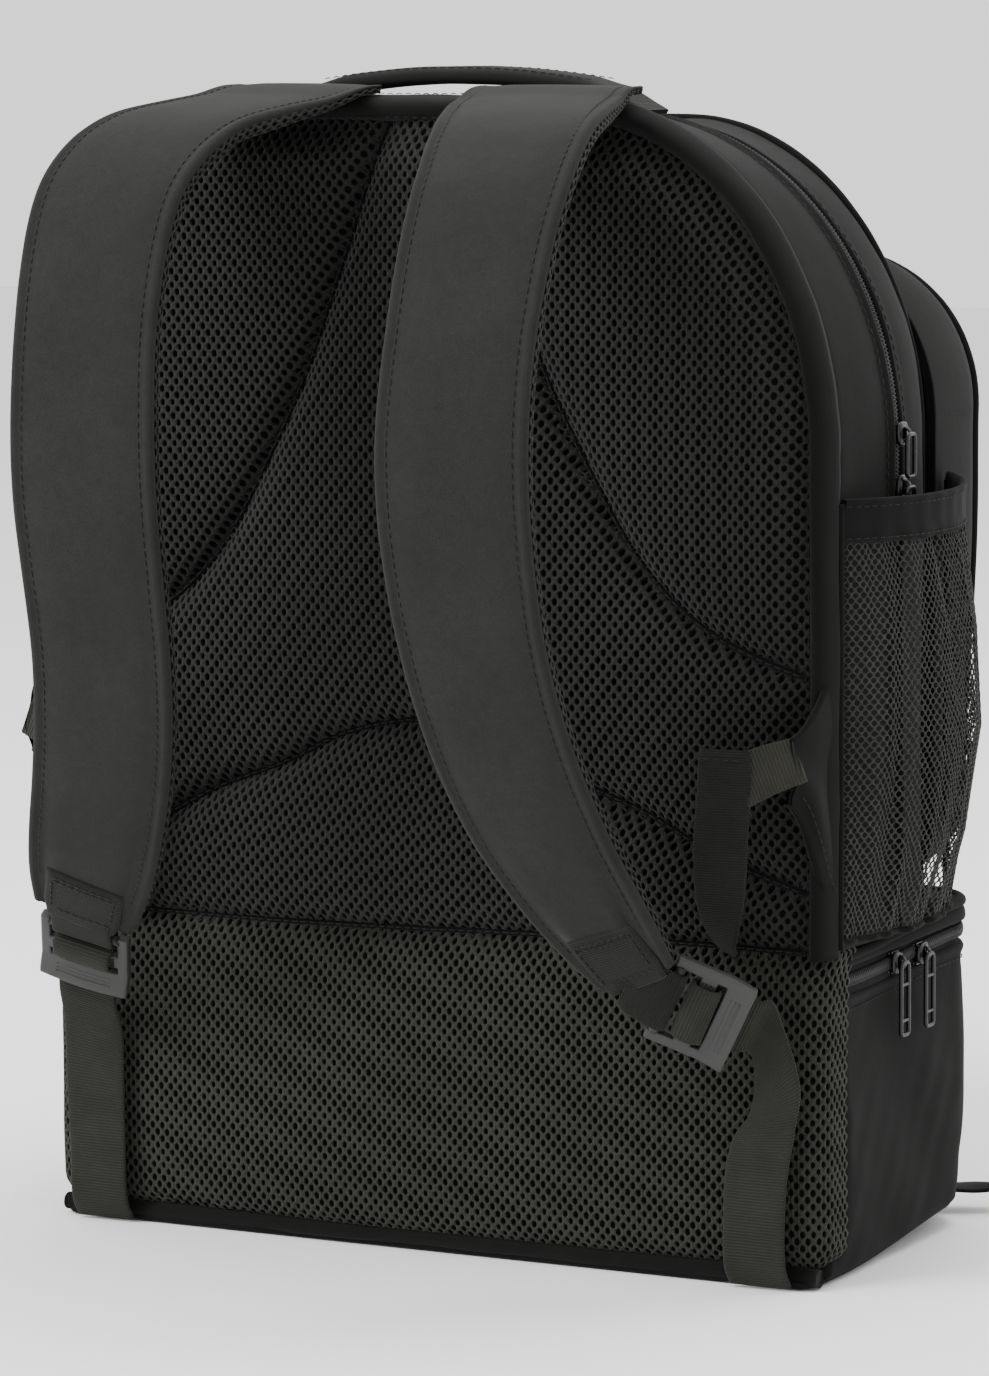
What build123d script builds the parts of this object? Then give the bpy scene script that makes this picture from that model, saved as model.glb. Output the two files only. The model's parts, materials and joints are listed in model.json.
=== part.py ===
from build123d import *
import os

os.makedirs("parts", exist_ok=True)

# ---------------------------------------------------------------------------
# Racket backpack. Millimetres, +Z up. Origin under the middle of the bag on
# the ground plane. +X is the right side seen from the wearer's side, the back
# panel (wearer's side) faces -Y and the front pocket faces +Y.
# ---------------------------------------------------------------------------

# back panel and main compartment
half_width = 164.0
panel_top = 432.0
corner_rx = 104.0
corner_ry = 128.0
panel_bottom = 10.5
shoe_seam_z = 123.0
pad_face = 14.0          # how far the quilted pads stand out of the panel
groove = 3.0             # width of the sewn channels
piping = 8.0
wall = 2.5
zip_y = 53.0             # plane of the main zip
main_front_y = 100.0
main_front_inset = 10.0
zip_end_z = 277.5        # both ends of the main zip
tape_thick = 1.0
tape_width = 12.0
coil_width = 5.0
coil_thick = 1.4

# front pocket
pocket_half_width = 157.0
pocket_bottom = 132.0
pocket_top = 378.0
pocket_front_y = 181.0
pocket_zip_z = 318.0

# shoe compartment
shoe_half_width = 161.0
shoe_front_y = 142.0
shoe_corner = 26.0
shoe_bottom = 2.4
shoe_zip_z = 112.0
shoe_top = 120.0

# side mesh pockets
net_bottom = 127.0
hem_bottom = 273.0
hem_top = 288.0
net_wall = 1.5

# webbing and straps
webbing = 25.0
webbing_thick = 1.5
strap_hinge_y = 4.0
strap_hinge_z = 434.5

# grab handle
handle_y = 33.0
handle_width = 24.0
handle_half_span = 63.0
handle_top = 443.6
handle_thick = 7.4

# zip sliders and pulls
slider_length = 9.0
slider_width = 8.0
pull_wire = 0.8          # half the wire's thickness
pull_width = 8.2
bail_outer = 2.3
bail_inner = 1.5

pieces = {}


def panel_outline(inset, bottom, top_inset=None):
    """Face of the back panel's outline: straight sides, elliptical shoulders."""
    ti = inset if top_inset is None else top_inset
    w = half_width - inset
    rx, ry = corner_rx - inset, corner_ry - ti
    cx, cz = w - rx, panel_top - corner_ry
    with BuildLine() as edge:
        Line((-w, bottom), (-w, cz))
        EllipticalCenterArc((-cx, cz), rx, ry, start_angle=90, arc_size=90)
        Line((-cx, cz + ry), (cx, cz + ry))
        EllipticalCenterArc((cx, cz), rx, ry, start_angle=0, arc_size=90)
        Line((w, cz), (w, bottom))
        Line((w, bottom), (-w, bottom))
    make_face(edge.edges())


def plane_y(y):
    """Vertical plane at y, normal to -Y, local axes X and Z."""
    return Plane(origin=(0, y, 0), x_dir=(1, 0, 0), z_dir=(0, -1, 0))


# ---------------------------------------------------------------------------
# stiffening sheet of the back
# ---------------------------------------------------------------------------
with BuildPart() as frame_sheet:
    with BuildSketch(plane_y(1.7)):
        panel_outline(4.0, panel_bottom + 2)
    extrude(amount=1.5)
pieces["frame_sheet"] = frame_sheet

# edge roll round the back panel
with BuildPart() as back_piping:
    with BuildSketch(plane_y(0.0)):
        panel_outline(0.0, shoe_seam_z)
    extrude(amount=piping - 1)
    with BuildSketch(plane_y(0.5)):
        panel_outline(piping - 1.0, shoe_seam_z - 5)
    extrude(amount=piping + 2, mode=Mode.SUBTRACT)
pieces["back_piping"] = back_piping

# ---------------------------------------------------------------------------
# quilted pads of the back: centre line of each sewn channel, right half
# ---------------------------------------------------------------------------
bell = [(12, 440), (50, 330), (70, 293), (90, 261), (114, 240), (140, 228), (170, 219)]
arch = [(0, 201), (35, 196), (61, 182), (90, 172), (112, 160), (135, 151), (170, 141)]
g = groove / 2

with BuildPart() as back_pad_centre:
    with BuildSketch(plane_y(-0.3)):
        panel_outline(piping - 0.4, shoe_seam_z + g)
        with BuildLine():
            Polyline(*[(x - g, z - g) for x, z in bell], (170, 500), (12 - g, 500), close=True)
        make_face(mode=Mode.SUBTRACT)
        with BuildLine():
            Polyline(*[(-x + g, z - g) for x, z in bell], (-170, 500), (-12 + g, 500), close=True)
        make_face(mode=Mode.SUBTRACT)
        with BuildLine():
            Polyline(
                *[(-x, z + g) for x, z in reversed(arch)],
                *[(x, z + g) for x, z in arch[1:]],
                (170, 100), (-170, 100), close=True,
            )
        make_face(mode=Mode.SUBTRACT)
    extrude(amount=pad_face - 0.3)
pieces["back_pad_centre"] = back_pad_centre

with BuildPart() as back_pad_right:
    with BuildSketch(plane_y(-0.3)):
        panel_outline(piping - 0.4, shoe_seam_z + g)
        with BuildLine():
            Polyline(
                *[(x + g, z + g) for x, z in bell],
                (170, 100), (-170, 100), (-170, 500), (12 + g, 500), close=True,
            )
        make_face(mode=Mode.SUBTRACT)
    extrude(amount=pad_face - 2.3)
pieces["back_pad_right"] = back_pad_right

with BuildPart() as back_pad_left:
    mirror(back_pad_right.part, about=Plane.YZ)
pieces["back_pad_left"] = back_pad_left

with BuildPart() as lumbar_pad:
    with BuildSketch(plane_y(-0.3)):
        panel_outline(piping - 0.4, shoe_seam_z + g)
        with BuildLine():
            Polyline(
                *[(-x, z - g) for x, z in reversed(arch)],
                *[(x, z - g) for x, z in arch[1:]],
                (170, 500), (-170, 500), close=True,
            )
        make_face(mode=Mode.SUBTRACT)
    extrude(amount=pad_face - 0.3)
pieces["lumbar_pad"] = lumbar_pad

with BuildPart() as lower_back_pad:
    with BuildSketch(plane_y(-0.3)):
        with Locations((0, (shoe_seam_z - g + panel_bottom + 0.5) / 2)):
            Rectangle(2 * half_width, shoe_seam_z - g - panel_bottom - 0.5)
    extrude(amount=pad_face - 2.0)
    # the pad wraps round both sides of the shoe compartment
    with BuildSketch(Plane.XY.offset(panel_bottom + 0.5)):
        with Locations((half_width - 1.3, 5.4), (1.3 - half_width, 5.4)):
            Rectangle(2.6, 12.2)
    extrude(amount=105.0)
pieces["lower_back_pad"] = lower_back_pad

with BuildPart() as bottom_binding:
    with BuildSketch(Plane.YZ.offset(-160)):
        with Locations((-5.5, 6.4)):
            RectangleRounded(10.0, 7.8, 3.5)
    extrude(amount=320)
pieces["bottom_binding"] = bottom_binding

# ---------------------------------------------------------------------------
# main compartment: rear gusset tray and front tray, meeting at the zip
# ---------------------------------------------------------------------------
top_fall = 9.0          # the top of the gusset falls this much towards the zip
with BuildPart() as main_rear_shell:
    with BuildSketch(plane_y(2.0)):
        panel_outline(0.5, shoe_seam_z + 1)
    with BuildSketch(plane_y(zip_y - 0.1)):
        panel_outline(0.5, shoe_seam_z + 1, top_fall)
    loft(ruled=True)
    with BuildSketch(plane_y(2.0 + wall)):
        panel_outline(0.5 + wall, shoe_seam_z + 1 + wall)
    with BuildSketch(plane_y(zip_y + 1)):
        panel_outline(0.5 + wall, shoe_seam_z + 1 + wall, top_fall + wall)
    loft(ruled=True, mode=Mode.SUBTRACT)
pieces["main_rear_shell"] = main_rear_shell

with BuildPart() as main_front_shell:
    with BuildSketch(plane_y(main_front_y)):
        panel_outline(main_front_inset, shoe_seam_z + 1)
    with BuildSketch(plane_y(zip_y + 0.1)):
        panel_outline(0.5, shoe_seam_z + 1, top_fall)
    loft(ruled=True)
    with BuildSketch(plane_y(main_front_y - wall)):
        panel_outline(main_front_inset + wall, shoe_seam_z + 1 + wall)
    with BuildSketch(plane_y(zip_y - 0.5)):
        panel_outline(0.5 + wall, shoe_seam_z + 1 + wall, top_fall + wall)
    loft(ruled=True, mode=Mode.SUBTRACT)
pieces["main_front_shell"] = main_front_shell

with BuildPart() as main_zip_tape:
    with BuildSketch(plane_y(zip_y + tape_width / 2)):
        panel_outline(-0.6 - tape_thick, zip_end_z, top_fall - 2.6)
    extrude(amount=tape_width)
    with BuildSketch(plane_y(zip_y + tape_width)):
        panel_outline(0.4, zip_end_z - 5, top_fall - 1.5)
    extrude(amount=2 * tape_width, mode=Mode.SUBTRACT)
pieces["main_zip_tape"] = main_zip_tape

with BuildPart() as main_zip_coil:
    with BuildSketch(plane_y(zip_y + coil_width / 2)):
        panel_outline(-0.65 - tape_thick - coil_thick, zip_end_z + 1, top_fall - 2.65 - coil_thick)
    extrude(amount=coil_width)
    with BuildSketch(plane_y(zip_y + tape_width)):
        panel_outline(-0.65 - tape_thick, zip_end_z - 5, top_fall - 2.65)
    extrude(amount=2 * tape_width, mode=Mode.SUBTRACT)
pieces["main_zip_coil"] = main_zip_coil

# ---------------------------------------------------------------------------
# front pocket
# ---------------------------------------------------------------------------
def pocket_outline(inset, r_top, r_bottom):
    """Face of the pocket's outline: round corners, larger at the top."""
    w = pocket_half_width - inset
    lo, hi = pocket_bottom + inset, pocket_top - inset
    with BuildLine() as edge:
        Line((-w, lo + r_bottom), (-w, hi - r_top))
        CenterArc((r_top - w, hi - r_top), r_top, 90, 90)
        Line((r_top - w, hi), (w - r_top, hi))
        CenterArc((w - r_top, hi - r_top), r_top, 0, 90)
        Line((w, hi - r_top), (w, lo + r_bottom))
        CenterArc((w - r_bottom, lo + r_bottom), r_bottom, 270, 90)
        Line((w - r_bottom, lo), (r_bottom - w, lo))
        CenterArc((r_bottom - w, lo + r_bottom), r_bottom, 180, 90)
    make_face(edge.edges())


with BuildPart() as front_pocket_shell:
    with BuildSketch(plane_y(main_front_y + 0.3)):
        pocket_outline(0, 66, 26)
    extrude(amount=-(pocket_front_y - main_front_y - 0.3), taper=4)
    fillet(front_pocket_shell.faces().sort_by(Axis.Y)[-1].edges(), 30)
    with BuildSketch(plane_y(main_front_y)):
        pocket_outline(2 * wall, 62, 22)
    extrude(amount=-(pocket_front_y - main_front_y - 2 * wall - 3), taper=7, mode=Mode.SUBTRACT)
pieces["front_pocket_shell"] = front_pocket_shell

with BuildPart() as front_pocket_zip_tape:
    with BuildSketch(plane_y(pocket_front_y + tape_thick + 0.1)):
        with Locations((0, pocket_zip_z)):
            Rectangle(206, tape_width)
    extrude(amount=tape_thick)
pieces["front_pocket_zip_tape"] = front_pocket_zip_tape

with BuildPart() as front_pocket_zip_coil:
    with BuildSketch(plane_y(pocket_front_y + tape_thick + 0.15 + coil_thick)):
        with Locations((0, pocket_zip_z)):
            Rectangle(200, coil_width)
    extrude(amount=coil_thick)
pieces["front_pocket_zip_coil"] = front_pocket_zip_coil

# ---------------------------------------------------------------------------
# shoe compartment
# ---------------------------------------------------------------------------


def shoe_outline(grow, y0=2.0):
    """Plan of the shoe compartment: square at the back, rounded at the front."""
    w, yf, r = shoe_half_width + grow, shoe_front_y + grow, shoe_corner + grow
    with BuildLine() as edge:
        Line((-w, y0), (w, y0))
        Line((w, y0), (w, yf - r))
        CenterArc((w - r, yf - r), r, 0, 90)
        Line((w - r, yf), (-w + r, yf))
        CenterArc((-w + r, yf - r), r, 90, 90)
        Line((-w, yf - r), (-w, y0))
    make_face(edge.edges())


with BuildPart() as shoe_shell:
    with BuildSketch(Plane.XY.offset(shoe_bottom)):
        shoe_outline(0)
    extrude(amount=shoe_zip_z - 0.1 - shoe_bottom)
    with BuildSketch(Plane.XY.offset(shoe_bottom + wall)):
        shoe_outline(-wall, 2.0 + wall)
    extrude(amount=shoe_zip_z, mode=Mode.SUBTRACT)
pieces["shoe_shell"] = shoe_shell

with BuildPart() as shoe_ceiling:
    with BuildSketch(Plane.XY.offset(shoe_zip_z + 0.1)):
        shoe_outline(0)
    extrude(amount=shoe_top - shoe_zip_z - 0.1)
    with BuildSketch(Plane.XY.offset(shoe_zip_z)):
        shoe_outline(-wall, 2.0 + wall)
    extrude(amount=shoe_top - shoe_zip_z - wall, mode=Mode.SUBTRACT)
pieces["shoe_ceiling"] = shoe_ceiling

with BuildPart() as shoe_zip_tape:
    with BuildSketch(Plane.XY.offset(shoe_zip_z - tape_width / 2)):
        shoe_outline(0.1 + tape_thick, 12.0)
    extrude(amount=tape_width)
    with BuildSketch(Plane.XY.offset(shoe_zip_z - tape_width)):
        shoe_outline(0.1, -20.0)
    extrude(amount=2 * tape_width, mode=Mode.SUBTRACT)
pieces["shoe_zip_tape"] = shoe_zip_tape

with BuildPart() as shoe_zip_coil:
    with BuildSketch(Plane.XY.offset(shoe_zip_z - coil_width / 2)):
        shoe_outline(0.15 + tape_thick + coil_thick, 13.0)
    extrude(amount=coil_width)
    with BuildSketch(Plane.XY.offset(shoe_zip_z - tape_width)):
        shoe_outline(0.15 + tape_thick, -20.0)
    extrude(amount=2 * tape_width, mode=Mode.SUBTRACT)
pieces["shoe_zip_coil"] = shoe_zip_coil

with BuildPart() as shoe_piping:
    with BuildSketch(Plane.XY.offset(shoe_top - 1.4)):
        shoe_outline(3.4, 3.0)
    extrude(amount=3.6)
    with BuildSketch(Plane.XY.offset(shoe_top - 5)):
        shoe_outline(0.1, -20.0)
    extrude(amount=10, mode=Mode.SUBTRACT)
pieces["shoe_piping"] = shoe_piping

with BuildPart() as base_panel:
    with BuildSketch(Plane.XY):
        shoe_outline(-2.5, -10.5)
    extrude(amount=shoe_bottom - 0.1)
pieces["base_panel"] = base_panel

# folded pull tab under the front right corner of the base
with BuildPart() as base_tab:
    with BuildSketch(Plane.XY):
        with BuildLine():
            Polyline((116, 141), (134, 136), (166, 152), (170, 160), (160, 163), (128, 151), close=True)
        make_face()
    extrude(amount=2.0)
    with BuildSketch(Plane.XY):
        shoe_outline(0.4, -20.0)
    extrude(amount=10, mode=Mode.SUBTRACT)
pieces["base_tab"] = base_tab

# ---------------------------------------------------------------------------
# side mesh pockets with their hems
# ---------------------------------------------------------------------------
net_levels = [(net_bottom, 8.0), (160.0, 19.0), (200.0, 26.0), (235.0, 24.5), (hem_bottom - 0.2, 16.0)]


def side_arc(bulge, thick):
    """Bowed wall in plan from the back seam to the front seam of the side."""
    x0, x1, y0, y1 = 164.6, 157.5, 4.0, 117.0
    ym = (y0 + y1) / 2 + 4
    with BuildLine() as edge:
        ThreePointArc((x0 + thick, y0), (half_width + bulge, ym), (x1 + thick, y1))
        Line((x1 + thick, y1), (x1, y1))
        ThreePointArc((x1, y1), (half_width + bulge - thick, ym), (x0, y0))
        Line((x0, y0), (x0 + thick, y0))
    make_face(edge.edges())


with BuildPart() as side_net_right:
    for level, bulge in net_levels:
        with BuildSketch(Plane.XY.offset(level)):
            side_arc(bulge, net_wall)
    loft(ruled=True)
pieces["side_net_right"] = side_net_right

with BuildPart() as side_net_left:
    mirror(side_net_right.part, about=Plane.YZ)
pieces["side_net_left"] = side_net_left

with BuildPart() as pocket_hem_right:
    with BuildSketch(Plane.XY.offset(hem_bottom)):
        side_arc(16.4, net_wall + 0.5)
    extrude(amount=hem_top - hem_bottom)
pieces["pocket_hem_right"] = pocket_hem_right

with BuildPart() as pocket_hem_left:
    mirror(pocket_hem_right.part, about=Plane.YZ)
pieces["pocket_hem_left"] = pocket_hem_left

# ---------------------------------------------------------------------------
# side wings and webbing loops at the edge of the back panel
# ---------------------------------------------------------------------------
with BuildPart() as side_wing_right:
    with BuildSketch(Plane.YZ.offset(160.4)):
        with BuildLine():
            Polyline((-7.3, 222), (-7.3, 146), (-16, 166), (-27, 181), (-27, 204), (-16, 212), close=True)
        make_face()
    extrude(amount=1.8)
pieces["side_wing_right"] = side_wing_right

with BuildPart() as side_wing_left:
    mirror(side_wing_right.part, about=Plane.YZ)
pieces["side_wing_left"] = side_wing_left

with BuildPart() as side_loop_right:
    with BuildSketch(plane_y(-25.6)):
        with BuildLine():
            Polyline((160.2, 183), (160.2, 203), (128, 203), (124, 198), (124, 126.8), (144, 126.8), (144, 183), close=True)
        make_face()
    extrude(amount=webbing_thick)
    with BuildSketch(plane_y(-14.2)):
        with Locations((134, 125.9)):
            Rectangle(20, 1.8)
    extrude(amount=12.9)
pieces["side_loop_right"] = side_loop_right

with BuildPart() as side_loop_left:
    mirror(side_loop_right.part, about=Plane.YZ)
pieces["side_loop_left"] = side_loop_left

# ---------------------------------------------------------------------------
# top: strap yoke band, grab handle and its sewn ends
# ---------------------------------------------------------------------------
with BuildPart() as strap_yoke:
    with BuildSketch(Plane.XY.offset(panel_top - 0.3)):
        with Locations((0, 13)):
            Rectangle(116, 13)
    extrude(amount=1.6)
pieces["strap_yoke"] = strap_yoke

with BuildPart() as handle_ends:
    with BuildSketch(Plane.XY.offset(panel_top - 3.3)):
        with Locations((handle_half_span + 8.4, handle_y), (-handle_half_span - 8.4, handle_y)):
            Rectangle(15.6, handle_width - 2)
    extrude(amount=5.0)
pieces["handle_ends"] = handle_ends

with BuildPart() as grab_handle:
    with BuildSketch(plane_y(handle_y + handle_width / 2)):
        h = handle_half_span
        with BuildLine():
            Spline((-h, 436.8), (-h * 0.62, handle_top - 2.0), (0, handle_top), (h * 0.62, handle_top - 2.0), (h, 436.8))
            Line((h, 436.8), (h, 433.4))
            Spline((h, 433.4), (h * 0.6, handle_top - handle_thick - 1.0), (0, handle_top - handle_thick),
                   (-h * 0.6, handle_top - handle_thick - 1.0), (-h, 433.4))
            Line((-h, 433.4), (-h, 436.8))
        make_face()
    extrude(amount=handle_width)
pieces["grab_handle"] = grab_handle

# ---------------------------------------------------------------------------
# shoulder straps: stations along the outer face, (across, out, up, width, thickness)
# ---------------------------------------------------------------------------
strap_top = [
    (53.0, -4.5, 436.9, 64.0, 4.0),
    (53.5, 4.0, 436.9, 64.0, 4.0),
    (54.5, 11.0, 436.2, 64.0, 4.8),
    (56.5, 20.0, 434.0, 64.0, 6.0),
    (60.0, 33.0, 432.4, 64.0, 7.5),
    (64.5, 48.0, 430.2, 63.0, 9.0),
    (69.5, 64.0, 427.0, 62.5, 9.0),
    (73.0, 79.0, 421.2, 62.0, 9.0),
    (75.5, 91.0, 413.5, 61.5, 9.0),
    (77.0, 103.0, 402.0, 61.0, 9.0),
    (77.0, 114.0, 382.0, 60.0, 9.0),
    (76.0, 124.0, 350.0, 59.0, 9.0),
    (75.0, 128.5, 318.0, 60.0, 9.0),
    (75.0, 127.5, 290.0, 60.0, 9.0),
    (75.5, 121.5, 260.0, 59.0, 9.0),
    (77.5, 113.0, 230.0, 58.0, 9.0),
]
strap_end_right = [
    (82.5, 103.0, 200.0, 57.0, 9.0),
    (90.0, 91.0, 172.0, 55.0, 9.0),
    (98.0, 78.5, 150.0, 51.0, 9.0),
    (106.0, 67.5, 132.0, 45.0, 8.0),
    (113.0, 59.0, 119.0, 37.0, 7.0),
]
strap_end_left = [
    (82.5, 104.0, 203.0, 57.0, 9.0),
    (91.5, 92.5, 177.0, 55.0, 9.0),
    (103.0, 79.0, 154.0, 52.0, 9.0),
    (113.5, 66.0, 137.0, 47.0, 8.0),
    (121.0, 56.0, 125.0, 40.0, 7.0),
]


def strap_planes(stations, side, depth_share):
    """Section planes of a strap. depth_share runs from 0 at the outer face to 1 inside."""
    pts = [Vector(side * s, -b, z) for s, b, z, _, _ in stations]
    planes = []
    for i, p in enumerate(pts):
        a, c = pts[max(i - 1, 0)], pts[min(i + 1, len(pts) - 1)]
        t = (c - a).normalized()
        across = (Vector(1, 0, 0) - t * t.X).normalized()
        out = across.cross(t).normalized()
        if out.Y > 0 or (abs(out.Y) < 0.2 and out.Z < 0):
            out = out * -1
        base = p - out * (depth_share * stations[i][4])
        planes.append((Plane(origin=base, x_dir=across, z_dir=across.cross(out)), stations[i][3], across, out, t, base))
    return planes


def strap_slab(stations, side, d0, d1, narrow=0.0):
    """Adds the sections of one layer of a strap between two depth shares."""
    mids = strap_planes(stations, side, (d0 + d1) / 2)
    sections = []
    for (pl, width, *_), st in zip(mids, stations):
        with BuildSketch(pl) as section:
            Rectangle(width - narrow, (d1 - d0) * st[4])
        sections.append(section.sketch)
    loft(sections, ruled=True)


end_planes = {}
for side, tail, word in ((1, strap_end_right, "right"), (-1, strap_end_left, "left")):
    stations = strap_top + tail
    # padded outer layer
    with BuildPart() as strap_cover:
        strap_slab(stations, side, 0.0, 0.64)
    pieces["strap_cover_" + word] = strap_cover
    # air mesh lining on the wearer's side
    with BuildPart() as strap_lining:
        strap_slab(stations, side, 0.66, 1.0, narrow=2.0)
    pieces["strap_lining_" + word] = strap_lining

    # frame at the lower end: across, along (down the strap) and out
    _, _, across, out, along, base = strap_planes(stations, side, 0.5)[-1]
    patch_plane = Plane(origin=base + out * 4.7 - along * 11, x_dir=across, z_dir=out)
    if side > 0:
        # the right lock hangs turned towards the side of the bag
        along = Vector(0.82, 0.41, -0.39).normalized()
        out = Vector(0.30, -0.90, -0.31)
        out = (out - along * out.dot(along)).normalized()
        across = along.cross(out).normalized() * -1
        pivot = base + Vector(7.6, 7.8, -9.4)
    else:
        along = (Vector(side * 139.0, -23.0, base.Z - 41.0) - base).normalized()
        across = (Vector(1, 0, 0) - along * along.X).normalized()
        out = across.cross(along).normalized()
        if out.Y > 0:
            out = out * -1
        pivot = base + along * 11.0
    end_planes[word] = (across, out, along, base, pivot)

    # sewn patch that closes the strap's lower end
    with BuildPart() as end_patch:
        with BuildSketch(patch_plane):
            Rectangle(34, 19)
        extrude(amount=1.2)
    pieces["strap_end_patch_" + word] = end_patch

    # short webbing: sewn tail and a loop round the ladder lock's bar
    loop_plane = Plane(origin=pivot - across * (webbing / 2), x_dir=along, z_dir=across)
    with BuildPart() as lock_webbing:
        with BuildSketch(loop_plane):
            Circle(4.0)
            with Locations((-5.9, 0)):
                Rectangle(5.6, 2.4)
            Circle(2.45, mode=Mode.SUBTRACT)
        extrude(amount=webbing)
    pieces["lock_webbing_" + word] = lock_webbing

    # ladder lock: round top bar, window, ribbed middle bar, window, lower lip
    lock_plane = Plane(origin=pivot, x_dir=across, z_dir=out)
    down = 1 if across.cross(along).dot(out) > 0 else -1
    with BuildPart() as ladder_lock:
        with BuildSketch(lock_plane.offset(-2.0)):
            with Locations((0, down * 13.0)):
                RectangleRounded(36, 30, 4)
            with Locations((0, down * 5.0)):
                Rectangle(27, 6.0, mode=Mode.SUBTRACT)
            with Locations((0, down * 16.0)):
                Rectangle(27, 3.6, mode=Mode.SUBTRACT)
            with Locations((0, 0)):
                Rectangle(27, 4.0 + 0.01, mode=Mode.SUBTRACT)
            with Locations((0, down * -1.0)):
                Rectangle(27, 2.0, mode=Mode.SUBTRACT)
        extrude(amount=4.0)
        with BuildSketch(Plane(origin=pivot - across * 14.0, x_dir=along, z_dir=across)):
            Circle(2.0)
        extrude(amount=28.0)
    pieces["ladder_lock_" + word] = ladder_lock

    # adjuster webbing from the bottom corner up to the ladder lock
    lock_low = pivot + along * 29.0
    top = Vector(side * 139.0, -19.5, lock_low.Z - 5.0)
    if side > 0:
        top = Vector(side * 139.0, lock_low.Y + 6.0, lock_low.Z - 15.0)
    knee = -13.6 if side < 0 else -19.0
    with BuildPart() as adjuster_webbing:
        with BuildSketch(Plane.YZ.offset(side * 139.0 - webbing / 2)):
            with BuildLine():
                Polyline(
                    (-11.8, 0.2), (-13.4, 0.2), (-15.2, 30), (knee - 3.4, 66), (top.Y - 1.5, top.Z),
                    (top.Y, top.Z), (knee - 1.6, 65), (-13.6, 30), close=True,
                )
            make_face()
        extrude(amount=webbing)
    pieces["adjuster_webbing_" + word] = adjuster_webbing

# ---------------------------------------------------------------------------
# zip sliders and wire pulls
# ---------------------------------------------------------------------------
coil_rise = 0.65 + tape_thick + coil_thick


def slider_block(face, lengthwise):
    """Slider over a coil. face: plane on the shell with z outwards, x along the zip."""
    with BuildSketch(face.offset(coil_rise + 0.35)) as plate:
        if lengthwise:
            RectangleRounded(slider_length, slider_width, 2.4)
        else:
            RectangleRounded(slider_width, slider_length, 2.4)
    extrude(plate.sketch, amount=1.5)
    with BuildSketch(face.offset(0.65 + tape_thick + 0.3)) as flanges:
        if lengthwise:
            with Locations((0, coil_width / 2 + 0.9), (0, -coil_width / 2 - 0.9)):
                Rectangle(slider_length - 4, 1.0)
        else:
            with Locations((coil_width / 2 + 0.9, 0), (-coil_width / 2 - 0.9, 0)):
                Rectangle(1.0, slider_length - 4)
    extrude(flanges.sketch, amount=coil_thick + 0.6)


pivot_rise = coil_rise + 0.35 + 1.5 + 2.0


def bail(face, axis_dir, shift):
    """Ring on the slider that the pull hangs in. axis_dir: the pull's hinge direction."""
    centre = face.origin + face.z_dir * pivot_rise + shift
    with BuildSketch(Plane(origin=centre - axis_dir * 0.8, x_dir=face.z_dir, z_dir=axis_dir)) as ring:
        Circle(bail_outer)
        Circle(bail_inner, mode=Mode.SUBTRACT)
    extrude(ring.sketch, amount=1.6)


def pull_loop(face, axis_dir, shift, length):
    """Wire loop hanging from its top bar, in the plane of the hinge axis and -Z."""
    centre = face.origin + face.z_dir * pivot_rise + shift
    plane = Plane(origin=centre, x_dir=axis_dir, z_dir=axis_dir.cross(Vector(0, 0, 1)))
    with BuildSketch(plane.offset(-pull_wire)) as wire:
        with Locations((0, -length / 2)):
            RectangleRounded(pull_width, length + 2 * pull_wire, 2.2)
            RectangleRounded(pull_width - 4 * pull_wire, length - 2 * pull_wire, 1.0, mode=Mode.SUBTRACT)
    extrude(wire.sketch, amount=2 * pull_wire)


x_side = half_width - 0.5
side_face_main = lambda z: Plane(origin=(x_side + 0.5, zip_y, z), x_dir=(0, 1, 0), z_dir=(1, 0, 0))
side_face_shoe = lambda y: Plane(origin=(shoe_half_width - 0.5, y, shoe_zip_z), x_dir=(0, 1, 0), z_dir=(1, 0, 0))
front_face = Plane(origin=(-95.0, pocket_front_y - 0.5, pocket_zip_z), x_dir=(1, 0, 0), z_dir=(0, 1, 0))
y_dir, x_dir, none = Vector(0, 1, 0), Vector(1, 0, 0), Vector(0, 0, 0)

for name, face, lengthwise, hinge, length in (
    ("main_zip_slider_upper", side_face_main(309.0), False, y_dir, 15.5),
    ("main_zip_slider_lower", side_face_main(289.5), False, y_dir, 11.0),
    ("shoe_zip_slider_rear", side_face_shoe(57.0), True, y_dir, 27.0),
    ("shoe_zip_slider_front", side_face_shoe(80.0), True, y_dir, 27.0),
    ("front_pocket_slider", front_face, True, x_dir, 27.0),
):
    with BuildPart() as slider:
        slider_block(face, lengthwise)
        bail(face, hinge, none)
    pieces[name] = slider
    with BuildPart() as pull:
        pull_loop(face, hinge, none, length)
    pieces[name.replace("slider", "pull")] = pull
    print(name, "pull pivot", tuple(round(v, 2) for v in (face.origin + face.z_dir * pivot_rise)))

for word, (across, out, along, base, pivot) in end_planes.items():
    print(word, "lock pivot", [round(v, 3) for v in pivot], "across", [round(v, 4) for v in across],
          "out", [round(v, 4) for v in out], "along", [round(v, 4) for v in along])

# ---------------------------------------------------------------------------
# labels and files
# ---------------------------------------------------------------------------
for label, piece in pieces.items():
    piece.part.label = label
    export_step(piece.part, "parts/" + label + ".step")
print(len(pieces), "pieces")
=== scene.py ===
import sys
import json
import math

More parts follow.
